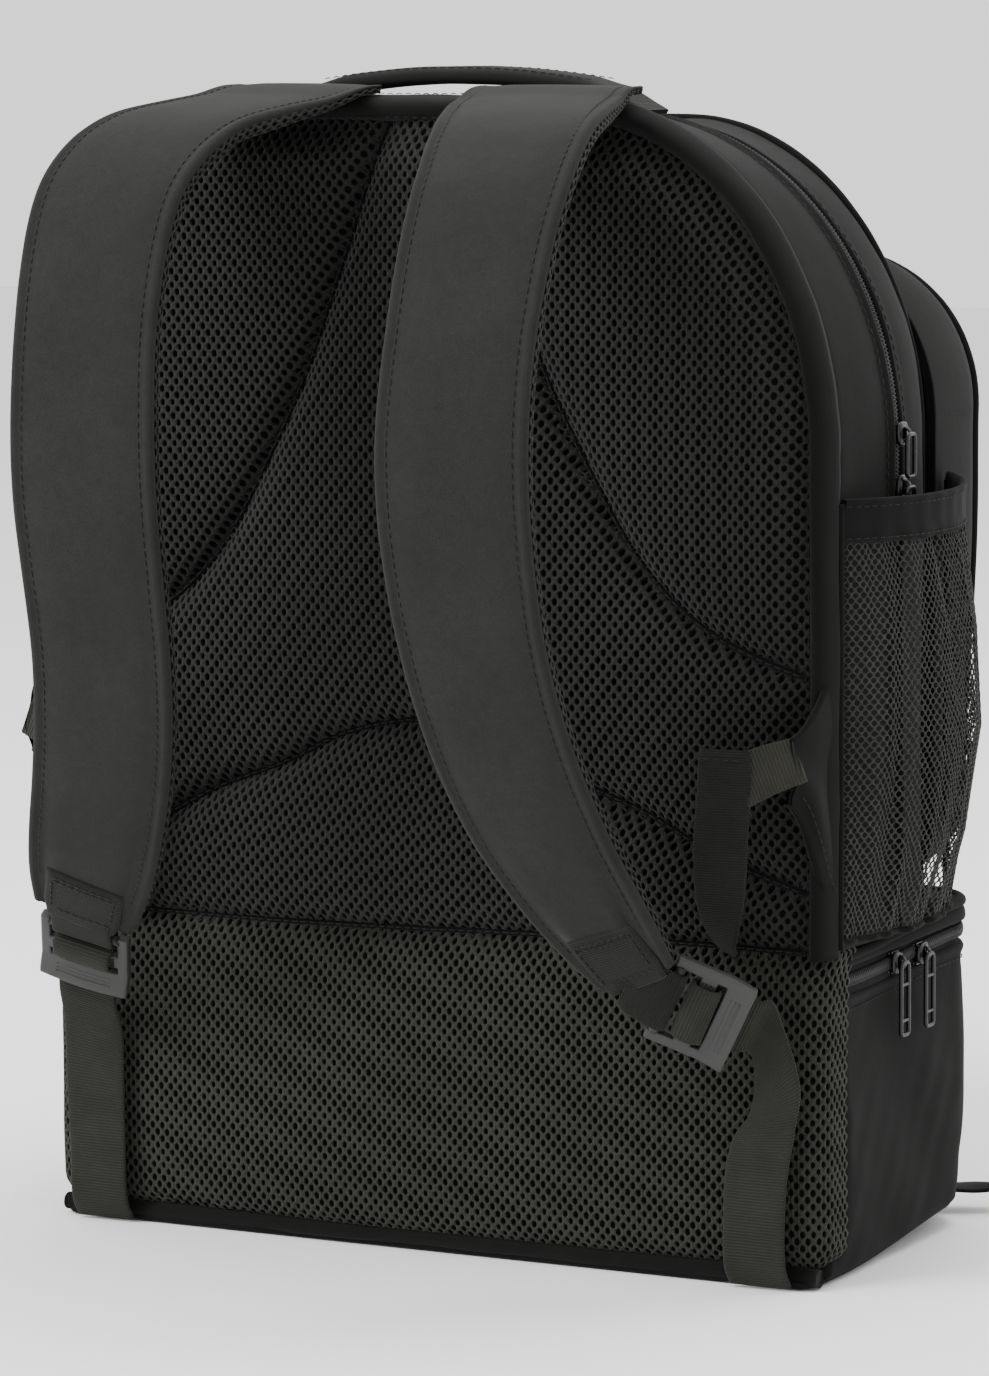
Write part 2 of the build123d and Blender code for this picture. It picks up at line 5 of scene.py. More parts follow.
import bmesh
import bpy
import numpy as np
from mathutils import Matrix, Vector
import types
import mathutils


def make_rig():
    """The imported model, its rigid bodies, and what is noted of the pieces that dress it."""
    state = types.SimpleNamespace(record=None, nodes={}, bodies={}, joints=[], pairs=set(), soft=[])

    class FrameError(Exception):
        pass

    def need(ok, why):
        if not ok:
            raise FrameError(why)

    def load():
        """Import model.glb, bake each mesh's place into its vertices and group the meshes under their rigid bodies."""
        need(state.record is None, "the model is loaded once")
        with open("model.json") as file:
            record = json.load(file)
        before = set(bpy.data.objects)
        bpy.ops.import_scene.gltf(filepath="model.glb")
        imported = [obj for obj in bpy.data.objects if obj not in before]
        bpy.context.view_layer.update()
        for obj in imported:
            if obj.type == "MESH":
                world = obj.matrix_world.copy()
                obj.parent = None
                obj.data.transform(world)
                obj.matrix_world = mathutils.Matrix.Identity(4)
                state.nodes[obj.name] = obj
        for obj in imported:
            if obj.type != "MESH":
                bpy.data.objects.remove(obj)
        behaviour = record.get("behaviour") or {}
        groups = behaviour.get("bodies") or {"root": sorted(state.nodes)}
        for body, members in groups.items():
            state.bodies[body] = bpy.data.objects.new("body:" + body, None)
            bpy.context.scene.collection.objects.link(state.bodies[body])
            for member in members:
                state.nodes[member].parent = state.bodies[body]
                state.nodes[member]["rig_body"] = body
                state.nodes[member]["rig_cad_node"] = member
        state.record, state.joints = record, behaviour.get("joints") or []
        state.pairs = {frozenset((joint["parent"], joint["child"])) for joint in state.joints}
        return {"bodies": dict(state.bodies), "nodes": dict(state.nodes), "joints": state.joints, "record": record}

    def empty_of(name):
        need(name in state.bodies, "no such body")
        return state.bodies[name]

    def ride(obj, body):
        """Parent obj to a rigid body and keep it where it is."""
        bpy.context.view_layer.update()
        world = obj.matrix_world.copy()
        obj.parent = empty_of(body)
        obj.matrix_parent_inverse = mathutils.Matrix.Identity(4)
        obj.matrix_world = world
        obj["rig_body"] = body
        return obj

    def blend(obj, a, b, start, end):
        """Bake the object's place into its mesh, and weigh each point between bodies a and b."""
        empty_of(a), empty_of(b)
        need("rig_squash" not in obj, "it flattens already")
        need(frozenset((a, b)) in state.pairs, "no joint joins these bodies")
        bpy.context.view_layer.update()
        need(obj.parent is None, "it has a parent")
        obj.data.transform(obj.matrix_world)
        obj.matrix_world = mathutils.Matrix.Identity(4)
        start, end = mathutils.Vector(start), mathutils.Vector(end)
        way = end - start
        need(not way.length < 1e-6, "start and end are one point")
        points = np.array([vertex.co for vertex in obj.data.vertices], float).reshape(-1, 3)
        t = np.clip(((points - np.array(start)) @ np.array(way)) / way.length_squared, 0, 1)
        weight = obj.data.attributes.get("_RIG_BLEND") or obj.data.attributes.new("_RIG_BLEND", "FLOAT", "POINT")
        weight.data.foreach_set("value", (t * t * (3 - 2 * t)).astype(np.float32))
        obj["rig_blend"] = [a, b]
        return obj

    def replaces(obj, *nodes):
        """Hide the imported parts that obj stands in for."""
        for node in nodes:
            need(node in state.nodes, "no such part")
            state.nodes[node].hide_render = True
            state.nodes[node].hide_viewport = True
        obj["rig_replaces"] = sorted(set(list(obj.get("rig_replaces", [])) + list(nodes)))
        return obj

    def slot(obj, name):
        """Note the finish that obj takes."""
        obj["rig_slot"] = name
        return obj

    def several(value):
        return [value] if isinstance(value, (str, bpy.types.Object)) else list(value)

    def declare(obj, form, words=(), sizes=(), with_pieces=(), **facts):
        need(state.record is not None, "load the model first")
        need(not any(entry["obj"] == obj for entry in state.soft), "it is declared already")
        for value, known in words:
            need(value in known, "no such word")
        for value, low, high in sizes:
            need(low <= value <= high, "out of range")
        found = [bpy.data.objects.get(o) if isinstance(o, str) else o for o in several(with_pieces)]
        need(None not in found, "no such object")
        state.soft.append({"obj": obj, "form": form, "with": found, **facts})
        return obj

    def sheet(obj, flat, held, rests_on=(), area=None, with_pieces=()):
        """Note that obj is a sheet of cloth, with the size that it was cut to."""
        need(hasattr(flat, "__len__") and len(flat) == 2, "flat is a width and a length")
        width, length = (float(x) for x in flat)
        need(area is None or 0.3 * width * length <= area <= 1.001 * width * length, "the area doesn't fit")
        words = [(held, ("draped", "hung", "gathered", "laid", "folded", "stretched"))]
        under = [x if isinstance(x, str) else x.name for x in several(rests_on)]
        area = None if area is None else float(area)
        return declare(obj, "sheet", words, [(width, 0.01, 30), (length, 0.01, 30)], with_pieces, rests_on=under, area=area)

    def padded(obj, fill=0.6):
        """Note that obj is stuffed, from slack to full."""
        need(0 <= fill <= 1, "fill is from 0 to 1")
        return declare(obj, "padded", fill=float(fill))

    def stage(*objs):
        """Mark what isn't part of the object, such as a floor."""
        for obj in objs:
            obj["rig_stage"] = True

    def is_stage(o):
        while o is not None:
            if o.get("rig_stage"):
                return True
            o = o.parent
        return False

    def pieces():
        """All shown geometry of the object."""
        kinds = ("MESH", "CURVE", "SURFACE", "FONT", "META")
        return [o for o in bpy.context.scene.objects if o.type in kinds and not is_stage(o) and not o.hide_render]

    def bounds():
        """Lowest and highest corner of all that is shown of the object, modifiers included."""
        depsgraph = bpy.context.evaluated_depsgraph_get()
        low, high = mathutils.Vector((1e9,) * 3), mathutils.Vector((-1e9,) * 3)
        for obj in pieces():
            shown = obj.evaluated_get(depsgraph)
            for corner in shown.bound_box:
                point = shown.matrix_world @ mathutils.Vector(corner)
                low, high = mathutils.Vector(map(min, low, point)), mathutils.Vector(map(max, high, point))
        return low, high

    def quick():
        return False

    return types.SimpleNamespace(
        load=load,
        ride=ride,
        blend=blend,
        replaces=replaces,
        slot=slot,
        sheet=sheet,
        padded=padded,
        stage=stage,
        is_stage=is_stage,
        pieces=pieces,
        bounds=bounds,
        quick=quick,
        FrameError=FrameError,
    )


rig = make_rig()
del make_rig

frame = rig.load()
cad_low, cad_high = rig.bounds()
MM = 0.001
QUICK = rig.quick()

# ---------------------------------------------------------------------------
# camera and light
# ---------------------------------------------------------------------------
CAM_YAW, CAM_PITCH, CAM_ROLL = 27.55, 6.82, 0.31
CAM_DIST = 2.2
CAM_TARGET = (0.02593, 0.0, 0.21379)
CAM_FOCAL_PX = 5919.76


def make_camera():
    data = bpy.data.cameras.new("camera")
    cam = bpy.data.objects.new("camera", data)
    bpy.context.scene.collection.objects.link(cam)
    a, e = math.radians(CAM_YAW), math.radians(CAM_PITCH)
    back = Vector((math.sin(a) * math.cos(e), -math.cos(a) * math.cos(e), math.sin(e)))
    cam.location = Vector(CAM_TARGET) + back * CAM_DIST
    q = (-back).to_track_quat("-Z", "Y")
    cam.rotation_mode = "QUATERNION"
    cam.rotation_quaternion = q @ Matrix.Rotation(math.radians(-CAM_ROLL), 4, "Z").to_quaternion()
    data.sensor_width = 36.0
    data.lens = 36.0 * CAM_FOCAL_PX / 1376.0
    data.clip_end = 50
    bpy.context.scene.camera = cam


make_camera()

world = bpy.data.worlds.new("studio")
bpy.context.scene.world = world
world.use_nodes = True
world.node_tree.nodes["Background"].inputs[0].default_value = (1.0, 1.0, 1.0, 1)
world.node_tree.nodes["Background"].inputs[1].default_value = 1.4


def area_light(name, loc, target, size, power, color=(1, 1, 1)):
    d = bpy.data.lights.new(name, "AREA")
    d.shape = "RECTANGLE"
    d.size, d.size_y = size
    d.energy = power
    d.color = color
    o = bpy.data.objects.new(name, d)
    bpy.context.scene.collection.objects.link(o)
    o.location = loc
    o.rotation_mode = "QUATERNION"
    o.rotation_quaternion = (Vector(target) - Vector(loc)).to_track_quat("-Z", "Y")


area_light("key", (-1.3, -1.9, 2.0), (0, 0, 0.22), (1.2, 1.2), 100)
area_light("fill", (2.2, -1.3, 1.2), (0, 0, 0.2), (1.0, 1.4), 3)
area_light("top", (0.2, 0.4, 2.4), (0, 0, 0.3), (1.6, 1.0), 40)
area_light("rear", (0.6, 2.2, 1.4), (0, 0.1, 0.25), (1.4, 1.0), 5)

# ---------------------------------------------------------------------------
# materials
# ---------------------------------------------------------------------------


class Nodes:
    def __init__(self, name):
        self.mat = bpy.data.materials.new(name)
        self.mat.use_nodes = True
        self.t = self.mat.node_tree
        self.b = self.t.nodes["Principled BSDF"]

    def node(self, kind, **props):
        n = self.t.nodes.new(kind)
        for k, v in props.items():
            if k in n.inputs.keys():
                n.inputs[k].default_value = v
            else:
                setattr(n, k, v)
        return n

    def link(self, a, b):
        self.t.links.new(a, b)

    def math(self, op, a, b=None, c=None, clamp=False):
        n = self.t.nodes.new("ShaderNodeMath")
        n.operation = op
        n.use_clamp = clamp
        for i, v in enumerate((a, b, c)):
            if v is None:
                continue
            if isinstance(v, (int, float)):
                n.inputs[i].default_value = v
            else:
                self.link(v, n.inputs[i])
        return n.outputs[0]

    def ramp(self, fac, stops):
        n = self.t.nodes.new("ShaderNodeValToRGB")
        el = n.color_ramp.elements
        while len(el) < len(stops):
            el.new(0.5)
        for e, (p, c) in zip(el, stops):
            e.position = p
            e.color = (*c, 1) if len(c) == 3 else c
        self.link(fac, n.inputs[0])
        return n.outputs[0]


def scaled(c, k):
    return tuple(x * k for x in c)


def fabric(name, color, rough=0.9, sheen=0.04, weave=0.55, weave_amount=0.5, mottle=0.16, grain=0.35, use_uv=True):
    """Woven cloth: yarn crossings in the bump and colour, soft mottling, fine fibre grain."""
    m = Nodes(name)
    b = m.b
    b.inputs["Roughness"].default_value = rough
    b.inputs["Sheen Weight"].default_value = sheen
    b.inputs["Sheen Roughness"].default_value = 0.5
    b.inputs["Specular IOR Level"].default_value = 0.06
    tc = m.node("ShaderNodeTexCoord")
    obj = tc.outputs["Object"]
    src = tc.outputs["UV"] if use_uv else obj
    big = m.node("ShaderNodeTexNoise", Scale=26.0, Detail=3.0, Roughness=0.55)
    m.link(obj, big.inputs["Vector"])
    mid = m.node("ShaderNodeTexNoise", Scale=240.0, Detail=3.0, Roughness=0.6)
    m.link(obj, mid.inputs["Vector"])
    fine = m.node("ShaderNodeTexNoise", Scale=1500.0, Detail=2.0, Roughness=0.7)
    m.link(obj, fine.inputs["Vector"])
    sep = m.node("ShaderNodeSeparateXYZ")
    m.link(src, sep.inputs[0])
    k = 2 * math.pi / (weave * MM)
    su = m.math("SINE", m.math("MULTIPLY", sep.outputs[0], k))
    sv = m.math("SINE", m.math("MULTIPLY", sep.outputs[1], k))
    cross = m.math("MULTIPLY", su, sv)
    tone = m.math("ADD", m.math("MULTIPLY", m.math("SUBTRACT", big.outputs[0], 0.5), mottle * 2.2),
                  m.math("MULTIPLY", m.math("SUBTRACT", mid.outputs[0], 0.5), mottle * 1.6))
    tone = m.math("ADD", tone, m.math("MULTIPLY", m.math("SUBTRACT", fine.outputs[0], 0.5), grain))
    tone = m.math("ADD", tone, m.math("MULTIPLY", cross, 0.06))
    fac = m.math("ADD", tone, 0.5, clamp=True)
    col = m.ramp(fac, [(0.0, scaled(color, 0.45)), (0.5, color), (1.0, scaled(color, 1.75))])
    m.link(col, b.inputs["Base Color"])
    height = m.math("ADD", m.math("MULTIPLY", cross, 0.35 * weave_amount), m.math("MULTIPLY", fine.outputs[0], 0.7))
    height = m.math("ADD", height, m.math("MULTIPLY", mid.outputs[0], 0.9))
    bump = m.node("ShaderNodeBump", Strength=0.45, Distance=0.00022)
    m.link(height, bump.inputs["Height"])
    m.link(bump.outputs[0], b.inputs["Normal"])
    return m.mat


def webbing(name, color, pitch=1.15, across_pitch=0.8, rough=0.8):
    """Ribbed webbing: ribs across the band, fine warp lines along it."""
    m = Nodes(name)
    b = m.b
    b.inputs["Roughness"].default_value = rough
    b.inputs["Sheen Weight"].default_value = 0.04
    b.inputs["Specular IOR Level"].default_value = 0.12
    tc = m.node("ShaderNodeTexCoord")
    sep = m.node("ShaderNodeSeparateXYZ")
    m.link(tc.outputs["UV"], sep.inputs[0])
    fine = m.node("ShaderNodeTexNoise", Scale=1300.0, Detail=2.0, Roughness=0.6)
    m.link(tc.outputs["Object"], fine.inputs["Vector"])
    big = m.node("ShaderNodeTexNoise", Scale=60.0, Detail=2.0)
    m.link(tc.outputs["Object"], big.inputs["Vector"])
    rib = m.math("SINE", m.math("MULTIPLY", sep.outputs[1], 2 * math.pi / (pitch * MM)))
    warp = m.math("SINE", m.math("MULTIPLY", sep.outputs[0], 2 * math.pi / (across_pitch * MM)))
    h = m.math("ADD", m.math("MULTIPLY", rib, 0.6), m.math("MULTIPLY", m.math("MULTIPLY", warp, rib), 0.3))
    h = m.math("ADD", h, m.math("MULTIPLY", fine.outputs[0], 0.5))
    tone = m.math("ADD", m.math("MULTIPLY", rib, 0.17), m.math("MULTIPLY", m.math("SUBTRACT", fine.outputs[0], 0.5), 0.5))
    tone = m.math("ADD", tone, m.math("MULTIPLY", m.math("SUBTRACT", big.outputs[0], 0.5), 0.5))
    fac = m.math("ADD", tone, 0.5, clamp=True)
    m.link(m.ramp(fac, [(0.0, scaled(color, 0.35)), (0.5, color), (1.0, scaled(color, 1.9))]), b.inputs["Base Color"])
    bump = m.node("ShaderNodeBump", Strength=0.7, Distance=0.0003)
    m.link(h, bump.inputs["Height"])
    m.link(bump.outputs[0], b.inputs["Normal"])
    return m.mat


def plastic(name, color, rough=0.42, grain=0.08, metallic=0.0, coat=0.0, spec=0.5, bump_scale=900.0):
    m = Nodes(name)
    b = m.b
    b.inputs["Metallic"].default_value = metallic
    b.inputs["Specular IOR Level"].default_value = spec
    b.inputs["Coat Weight"].default_value = coat
    b.inputs["Coat Roughness"].default_value = 0.12
    tc = m.node("ShaderNodeTexCoord")
    n = m.node("ShaderNodeTexNoise", Scale=bump_scale, Detail=3.0, Roughness=0.6)
    m.link(tc.outputs["Object"], n.inputs["Vector"])
    w = m.node("ShaderNodeTexNoise", Scale=90.0, Detail=4.0, Roughness=0.65)
    m.link(tc.outputs["Object"], w.inputs["Vector"])
    fac = m.math("ADD", m.math("MULTIPLY", n.outputs[0], 0.4), m.math("MULTIPLY", w.outputs[0], 0.6))
    m.link(m.ramp(fac, [(0.25, scaled(color, 1 - 2.2 * grain)), (0.55, color), (0.85, scaled(color, 1 + 3 * grain))]), b.inputs["Base Color"])
    r = m.math("ADD", m.math("MULTIPLY", w.outputs[0], 0.22), rough - 0.11, clamp=True)
    m.link(r, b.inputs["Roughness"])
    bump = m.node("ShaderNodeBump", Strength=0.25, Distance=0.00012)
    m.link(n.outputs[0], bump.inputs["Height"])
    m.link(bump.outputs[0], b.inputs["Normal"])
    return m.mat


def yarn(name, color, rough=0.8):
    """Knitted yarn of the air mesh and of nets: short stitches with a slight gleam."""
    m = Nodes(name)
    b = m.b
    b.inputs["Roughness"].default_value = rough
    b.inputs["Sheen Weight"].default_value = 0.05
    b.inputs["Sheen Roughness"].default_value = 0.45
    b.inputs["Specular IOR Level"].default_value = 0.16
    tc = m.node("ShaderNodeTexCoord")
    big = m.node("ShaderNodeTexNoise", Scale=22.0, Detail=3.0, Roughness=0.5)
    m.link(tc.outputs["Object"], big.inputs["Vector"])
    fine = m.node("ShaderNodeTexNoise", Scale=900.0, Detail=3.0, Roughness=0.7)
    m.link(tc.outputs["Object"], fine.inputs["Vector"])
    stitch = m.node("ShaderNodeTexWave", Scale=260.0, Distortion=6.0, Detail=2.0)
    stitch.inputs["Detail Scale"].default_value = 3.0
    m.link(tc.outputs["Object"], stitch.inputs["Vector"])
    tone = m.math("ADD", m.math("MULTIPLY", m.math("SUBTRACT", big.outputs[0], 0.5), 0.4),
                  m.math("MULTIPLY", m.math("SUBTRACT", fine.outputs[0], 0.5), 0.8))
    tone = m.math("ADD", tone, m.math("MULTIPLY", m.math("SUBTRACT", stitch.outputs["Fac"], 0.5), 0.22))
    fac = m.math("ADD", tone, 0.5, clamp=True)
    m.link(m.ramp(fac, [(0.0, scaled(color, 0.4)), (0.5, color), (1.0, scaled(color, 1.9))]), b.inputs["Base Color"])
    bump = m.node("ShaderNodeBump", Strength=0.5, Distance=0.00025)
    m.link(m.math("ADD", fine.outputs[0], stitch.outputs["Fac"]), bump.inputs["Height"])
    m.link(bump.outputs[0], b.inputs["Normal"])
    return m.mat


def thread(name, color):
    m = Nodes(name)
    m.b.inputs["Roughness"].default_value = 0.6
    m.b.inputs["Sheen Weight"].default_value = 0.02
    m.b.inputs["Specular IOR Level"].default_value = 0.15
    tc = m.node("ShaderNodeTexCoord")
    n = m.node("ShaderNodeTexNoise", Scale=2500.0, Detail=2.0)
    m.link(tc.outputs["Object"], n.inputs["Vector"])
    m.link(m.ramp(n.outputs[0], [(0.3, scaled(color, 0.6)), (0.7, scaled(color, 1.4))]), m.b.inputs["Base Color"])
    return m.mat


M = {
    "air": yarn("air_mesh_yarn", (0.0118, 0.0120, 0.0108)),
    "air_low": yarn("lower_air_mesh_yarn", (0.0180, 0.0188, 0.0148)),
    # near-black painted shade for the inside of the air-mesh holes and the closed sides of the pads
    "air_deep": yarn("air_mesh_depth", (0.0015, 0.0015, 0.0015), 0.95),
    # dark charcoal shell cloth, its colour lowered further as painted shade for the sides and front that face away from
    # the key light
    "shell": fabric("shell_cloth", (0.0048, 0.0049, 0.0045)),
    "shell_dark": fabric("inner_cloth", (0.0035, 0.0035, 0.0035)),
    "strap": fabric("strap_cloth", (0.0158, 0.0160, 0.0150), mottle=0.16, grain=0.6),
    "handle": fabric("handle_cloth", (0.0105, 0.0106, 0.0100), mottle=0.10),
    "roll": fabric("edge_roll_cloth", (0.0050, 0.0051, 0.0047), weave=0.5),
    "hem": fabric("hem_cloth", (0.0052, 0.0052, 0.0050), weave=0.5),
    "net": yarn("net_yarn", (0.0225, 0.0226, 0.0208), 0.7),
    # near-black painted shade meant for behind the side nets; no piece takes it
    "net_back": fabric("net_backing_cloth", (0.003, 0.003, 0.003)),
    "webbing": webbing("adjuster_webbing", (0.0140, 0.0148, 0.0118)),
    "loop": webbing("loop_webbing", (0.0200, 0.0198, 0.0165), pitch=1.3),
    "patch": webbing("patch_webbing", (0.0085, 0.0088, 0.0076), pitch=1.0),
    "tape": fabric("zip_tape_cloth", (0.0060, 0.0060, 0.0060), weave=0.7, weave_amount=1.0),
    "coil": plastic("zip_coil_plastic", (0.009, 0.009, 0.009), rough=0.45, spec=0.3),
    "lock": plastic("ladder_lock_plastic", (0.024, 0.025, 0.0235), rough=0.5, grain=0.1, spec=0.35),
    "metal": plastic("zip_black_metal", (0.0032, 0.0032, 0.0033), rough=0.3, metallic=0.0, coat=0.0, spec=0.35, grain=0.12),
    "base": fabric("base_coated_cloth", (0.005, 0.005, 0.0052), rough=0.62, sheen=0.0, weave=0.9, weave_amount=1.2),
    "thread": thread("stitch_thread", (0.0105, 0.0105, 0.0100)),
    # near-black painted shadow for the tubes in the channel grooves
    "cord": fabric("channel_cord_cloth", (0.0035, 0.0035, 0.0035)),
    "stiff": plastic("stiffener_plastic", (0.02, 0.02, 0.02), rough=0.55),
}

# ---------------------------------------------------------------------------
# mesh helpers; everything below is in millimetres until the mesh is made
# ---------------------------------------------------------------------------


def make_piece(name, verts, faces, mats, body="bag", node=None, slot=None, uv=None, mat_ids=None, smooth=True,
               padded=None, sheet=None):
    """verts (n,3) mm, faces: list of arrays of equal-sided faces; uv per vertex in mm."""
    verts = np.asarray(verts, float) * MM
    me = bpy.data.meshes.new(name)
    groups = [np.asarray(f, np.int32) for f in faces if len(f)]
    loops = np.concatenate([g.ravel() for g in groups])
    sizes = np.concatenate([np.full(len(g), g.shape[1], np.int32) for g in groups])
    starts = np.concatenate([[0], np.cumsum(sizes)[:-1]]).astype(np.int32)
    me.vertices.add(len(verts))
    me.vertices.foreach_set("co", verts.astype(np.float32).ravel())
    me.loops.add(len(loops))
    me.loops.foreach_set("vertex_index", loops)
    me.polygons.add(len(sizes))
    me.polygons.foreach_set("loop_start", starts)
    me.polygons.foreach_set("loop_total", sizes)
    for m in (mats if isinstance(mats, (list, tuple)) else [mats]):
        me.materials.append(M[m])
    if mat_ids is not None:
        me.polygons.foreach_set("material_index", np.asarray(mat_ids, np.int32))
    me.update(calc_edges=True)
    me.validate()
    if smooth:
        me.polygons.foreach_set("use_smooth", np.ones(len(me.polygons), bool))
    if uv is not None:
        layer = me.uv_layers.new(name="UVMap")
        idx = np.zeros(len(me.loops), np.int32)
        me.loops.foreach_get("vertex_index", idx)
        layer.data.foreach_set("uv", (np.asarray(uv, float)[idx] * MM).astype(np.float32).ravel())
    o = bpy.data.objects.new(name, me)
    bpy.context.scene.collection.objects.link(o)
    if body:
        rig.ride(o, body)
    if node:
        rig.replaces(o, *([node] if isinstance(node, str) else node))
    if slot:
        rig.slot(o, slot)
    if padded is not None:
        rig.padded(o, fill=padded)
    if sheet is not None:
        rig.sheet(o, **sheet)
    return o


def grid_faces(nu, nv, close_u=False, close_v=False, flip=False):
    iu = np.arange(nu if close_u else nu - 1)
    iv = np.arange(nv if close_v else nv - 1)
    a, b = np.meshgrid(iu, iv, indexing="ij")
    a, b = a.ravel(), b.ravel()
    a2, b2 = (a + 1) % nu, (b + 1) % nv
    f = np.stack([a * nv + b, a2 * nv + b, a2 * nv + b2, a * nv + b2], 1)
    return f[:, ::-1] if flip else f


def lengths_uv(P):
    """UV in mm from running lengths along both directions of a grid of points."""
    du = np.linalg.norm(np.diff(P, axis=0), axis=2).mean(1)
    dv = np.linalg.norm(np.diff(P, axis=1), axis=2).mean(0)
    u = np.concatenate([[0], np.cumsum(du)])
    v = np.concatenate([[0], np.cumsum(dv)])
    U, V = np.meshgrid(u, v, indexing="ij")
    return np.stack([U.ravel(), V.ravel()], 1)


def join(parts):
    """Joins (verts, faces list, uv) parts."""
    V, F, U, n = [], {}, [], 0
    for v, fs, uv in parts:
        V.append(np.asarray(v, float))
        U.append(np.zeros((len(v), 2)) if uv is None else np.asarray(uv, float))
        for f in fs:
            f = np.asarray(f)
            if len(f):
                F.setdefault(f.shape[1], []).append(f + n)
        n += len(v)
    return np.concatenate(V), [np.concatenate(F[k]) for k in sorted(F)], np.concatenate(U)


def resample(pts, n=None, step=None, closed=False):
    pts = np.asarray(pts, float)
    if closed:
        pts = np.vstack([pts, pts[:1]])
    d = np.concatenate([[0], np.cumsum(np.linalg.norm(np.diff(pts, axis=0), axis=1))])
    if n is None:
        n = max(3, int(round(d[-1] / step)) + 1)
    t = np.linspace(0, d[-1], n + 1 if closed else n)
    out = np.stack([np.interp(t, d, pts[:, i]) for i in range(pts.shape[1])], 1)
    return out[:-1] if closed else out


def catmull(pts, per=8):
    pts = np.asarray(pts, float)
    p = np.vstack([2 * pts[0] - pts[1], pts, 2 * pts[-1] - pts[-2]])
    out = []
    for i in range(1, len(p) - 2):
        for t in np.linspace(0, 1, per, endpoint=False):
            a, b, c, d = p[i - 1], p[i], p[i + 1], p[i + 2]
            out.append(0.5 * ((2 * b) + (-a + c) * t + (2 * a - 5 * b + 4 * c - d) * t**2 + (-a + 3 * b - 3 * c + d) * t**3))
    out.append(pts[-1])
    return np.array(out)


def tangents(P, closed=False):
    if closed:
        t = np.roll(P, -1, 0) - np.roll(P, 1, 0)
    else:
        t = np.gradient(P, axis=0)
    return t / np.maximum(np.linalg.norm(t, axis=1, keepdims=True), 1e-9)


def unit(v):
    v = np.asarray(v, float)
    return v / np.maximum(np.linalg.norm(v, axis=-1, keepdims=True), 1e-9)


def frames(P, ref, closed=False):
    """Tangent, side and up; up is ref made square to the path."""
    t = tangents(P, closed)
    ref = np.broadcast_to(np.asarray(ref, float), P.shape)
    up = unit(ref - t * (ref * t).sum(1, keepdims=True))
    return t, np.cross(t, up), up


def sweep(P, profile, ref, closed=False, cap=True, scale=None):
    """Profile (m,2) as (side, up) swept along P; returns verts, faces, uv. scale: (n,) or (n,2)."""
    t, side, up = frames(P, ref, closed)
    prof = np.asarray(profile, float)
    s = np.ones((len(P), 2)) if scale is None else (np.asarray(scale, float).reshape(len(P), -1) * np.ones((1, 2)))
    V = (P[:, None, :] + side[:, None, :] * (prof[None, :, 0, None] * s[:, None, 0:1])
         + up[:, None, :] * (prof[None, :, 1, None] * s[:, None, 1:2]))
    n, m = len(P), len(prof)
    F = grid_faces(n, m, closed, True, flip=True)
    run = np.concatenate([[0], np.cumsum(np.linalg.norm(np.diff(P, axis=0), axis=1))])
    ring = np.concatenate([[0], np.cumsum(np.linalg.norm(np.diff(prof, axis=0), axis=1))])
    R, L = np.meshgrid(run, ring, indexing="ij")
    uv = np.stack([L.ravel(), R.ravel()], 1)
    fs = [F]
    verts = V.reshape(-1, 3)
    if cap and not closed:
        fs.append(np.arange(m)[None, :])
        fs.append((np.arange(m)[::-1] + (n - 1) * m)[None, :])
    return verts, fs, uv


def circle(r, n=12, squash=1.0):
    a = np.linspace(0, 2 * np.pi, n, endpoint=False)
    return np.stack([r * np.cos(a), r * squash * np.sin(a)], 1)


def band_profile(w, t, n=6, crown=0.0):
    """Flat band with rounded edges, widths w and t, closed profile."""
    r = t / 2
    pts = []
    for a in np.linspace(-np.pi / 2, np.pi / 2, n):
        pts.append((w / 2 - r + r * np.cos(a), r * np.sin(a)))
    for x in np.linspace(w / 2 - r, -w / 2 + r, 7)[1:-1]:
        pts.append((x, r + crown * (1 - (2 * x / w) ** 2)))
    for a in np.linspace(np.pi / 2, 1.5 * np.pi, n):
        pts.append((-w / 2 + r + r * np.cos(a), r * np.sin(a)))
    for x in np.linspace(-w / 2 + r, w / 2 - r, 7)[1:-1]:
        pts.append((x, -r))
    return np.array(pts)


_rng = np.random.default_rng(11)
_waves = [(unit(_rng.normal(size=3)), _rng.uniform(0.6, 1.6), _rng.uniform(0, 6.28)) for _ in range(14)]


def ripple(P, scale, seed=0):
    """Smooth wandering noise of about -1..1 over points in mm, features about scale mm wide."""
    P = np.asarray(P, float)
    out = np.zeros(P.shape[:-1])
    for i, (d, f, ph) in enumerate(_waves):
        out += np.sin((P @ d) * f * 2 * np.pi / (2.2 * scale) + ph + seed * (1.3 + i))
    return out / len(_waves) * 2.0


def smoothstep(x, a=0.0, b=1.0):
    t = np.clip((x - a) / (b - a), 0, 1)
    return t * t * (3 - 2 * t)


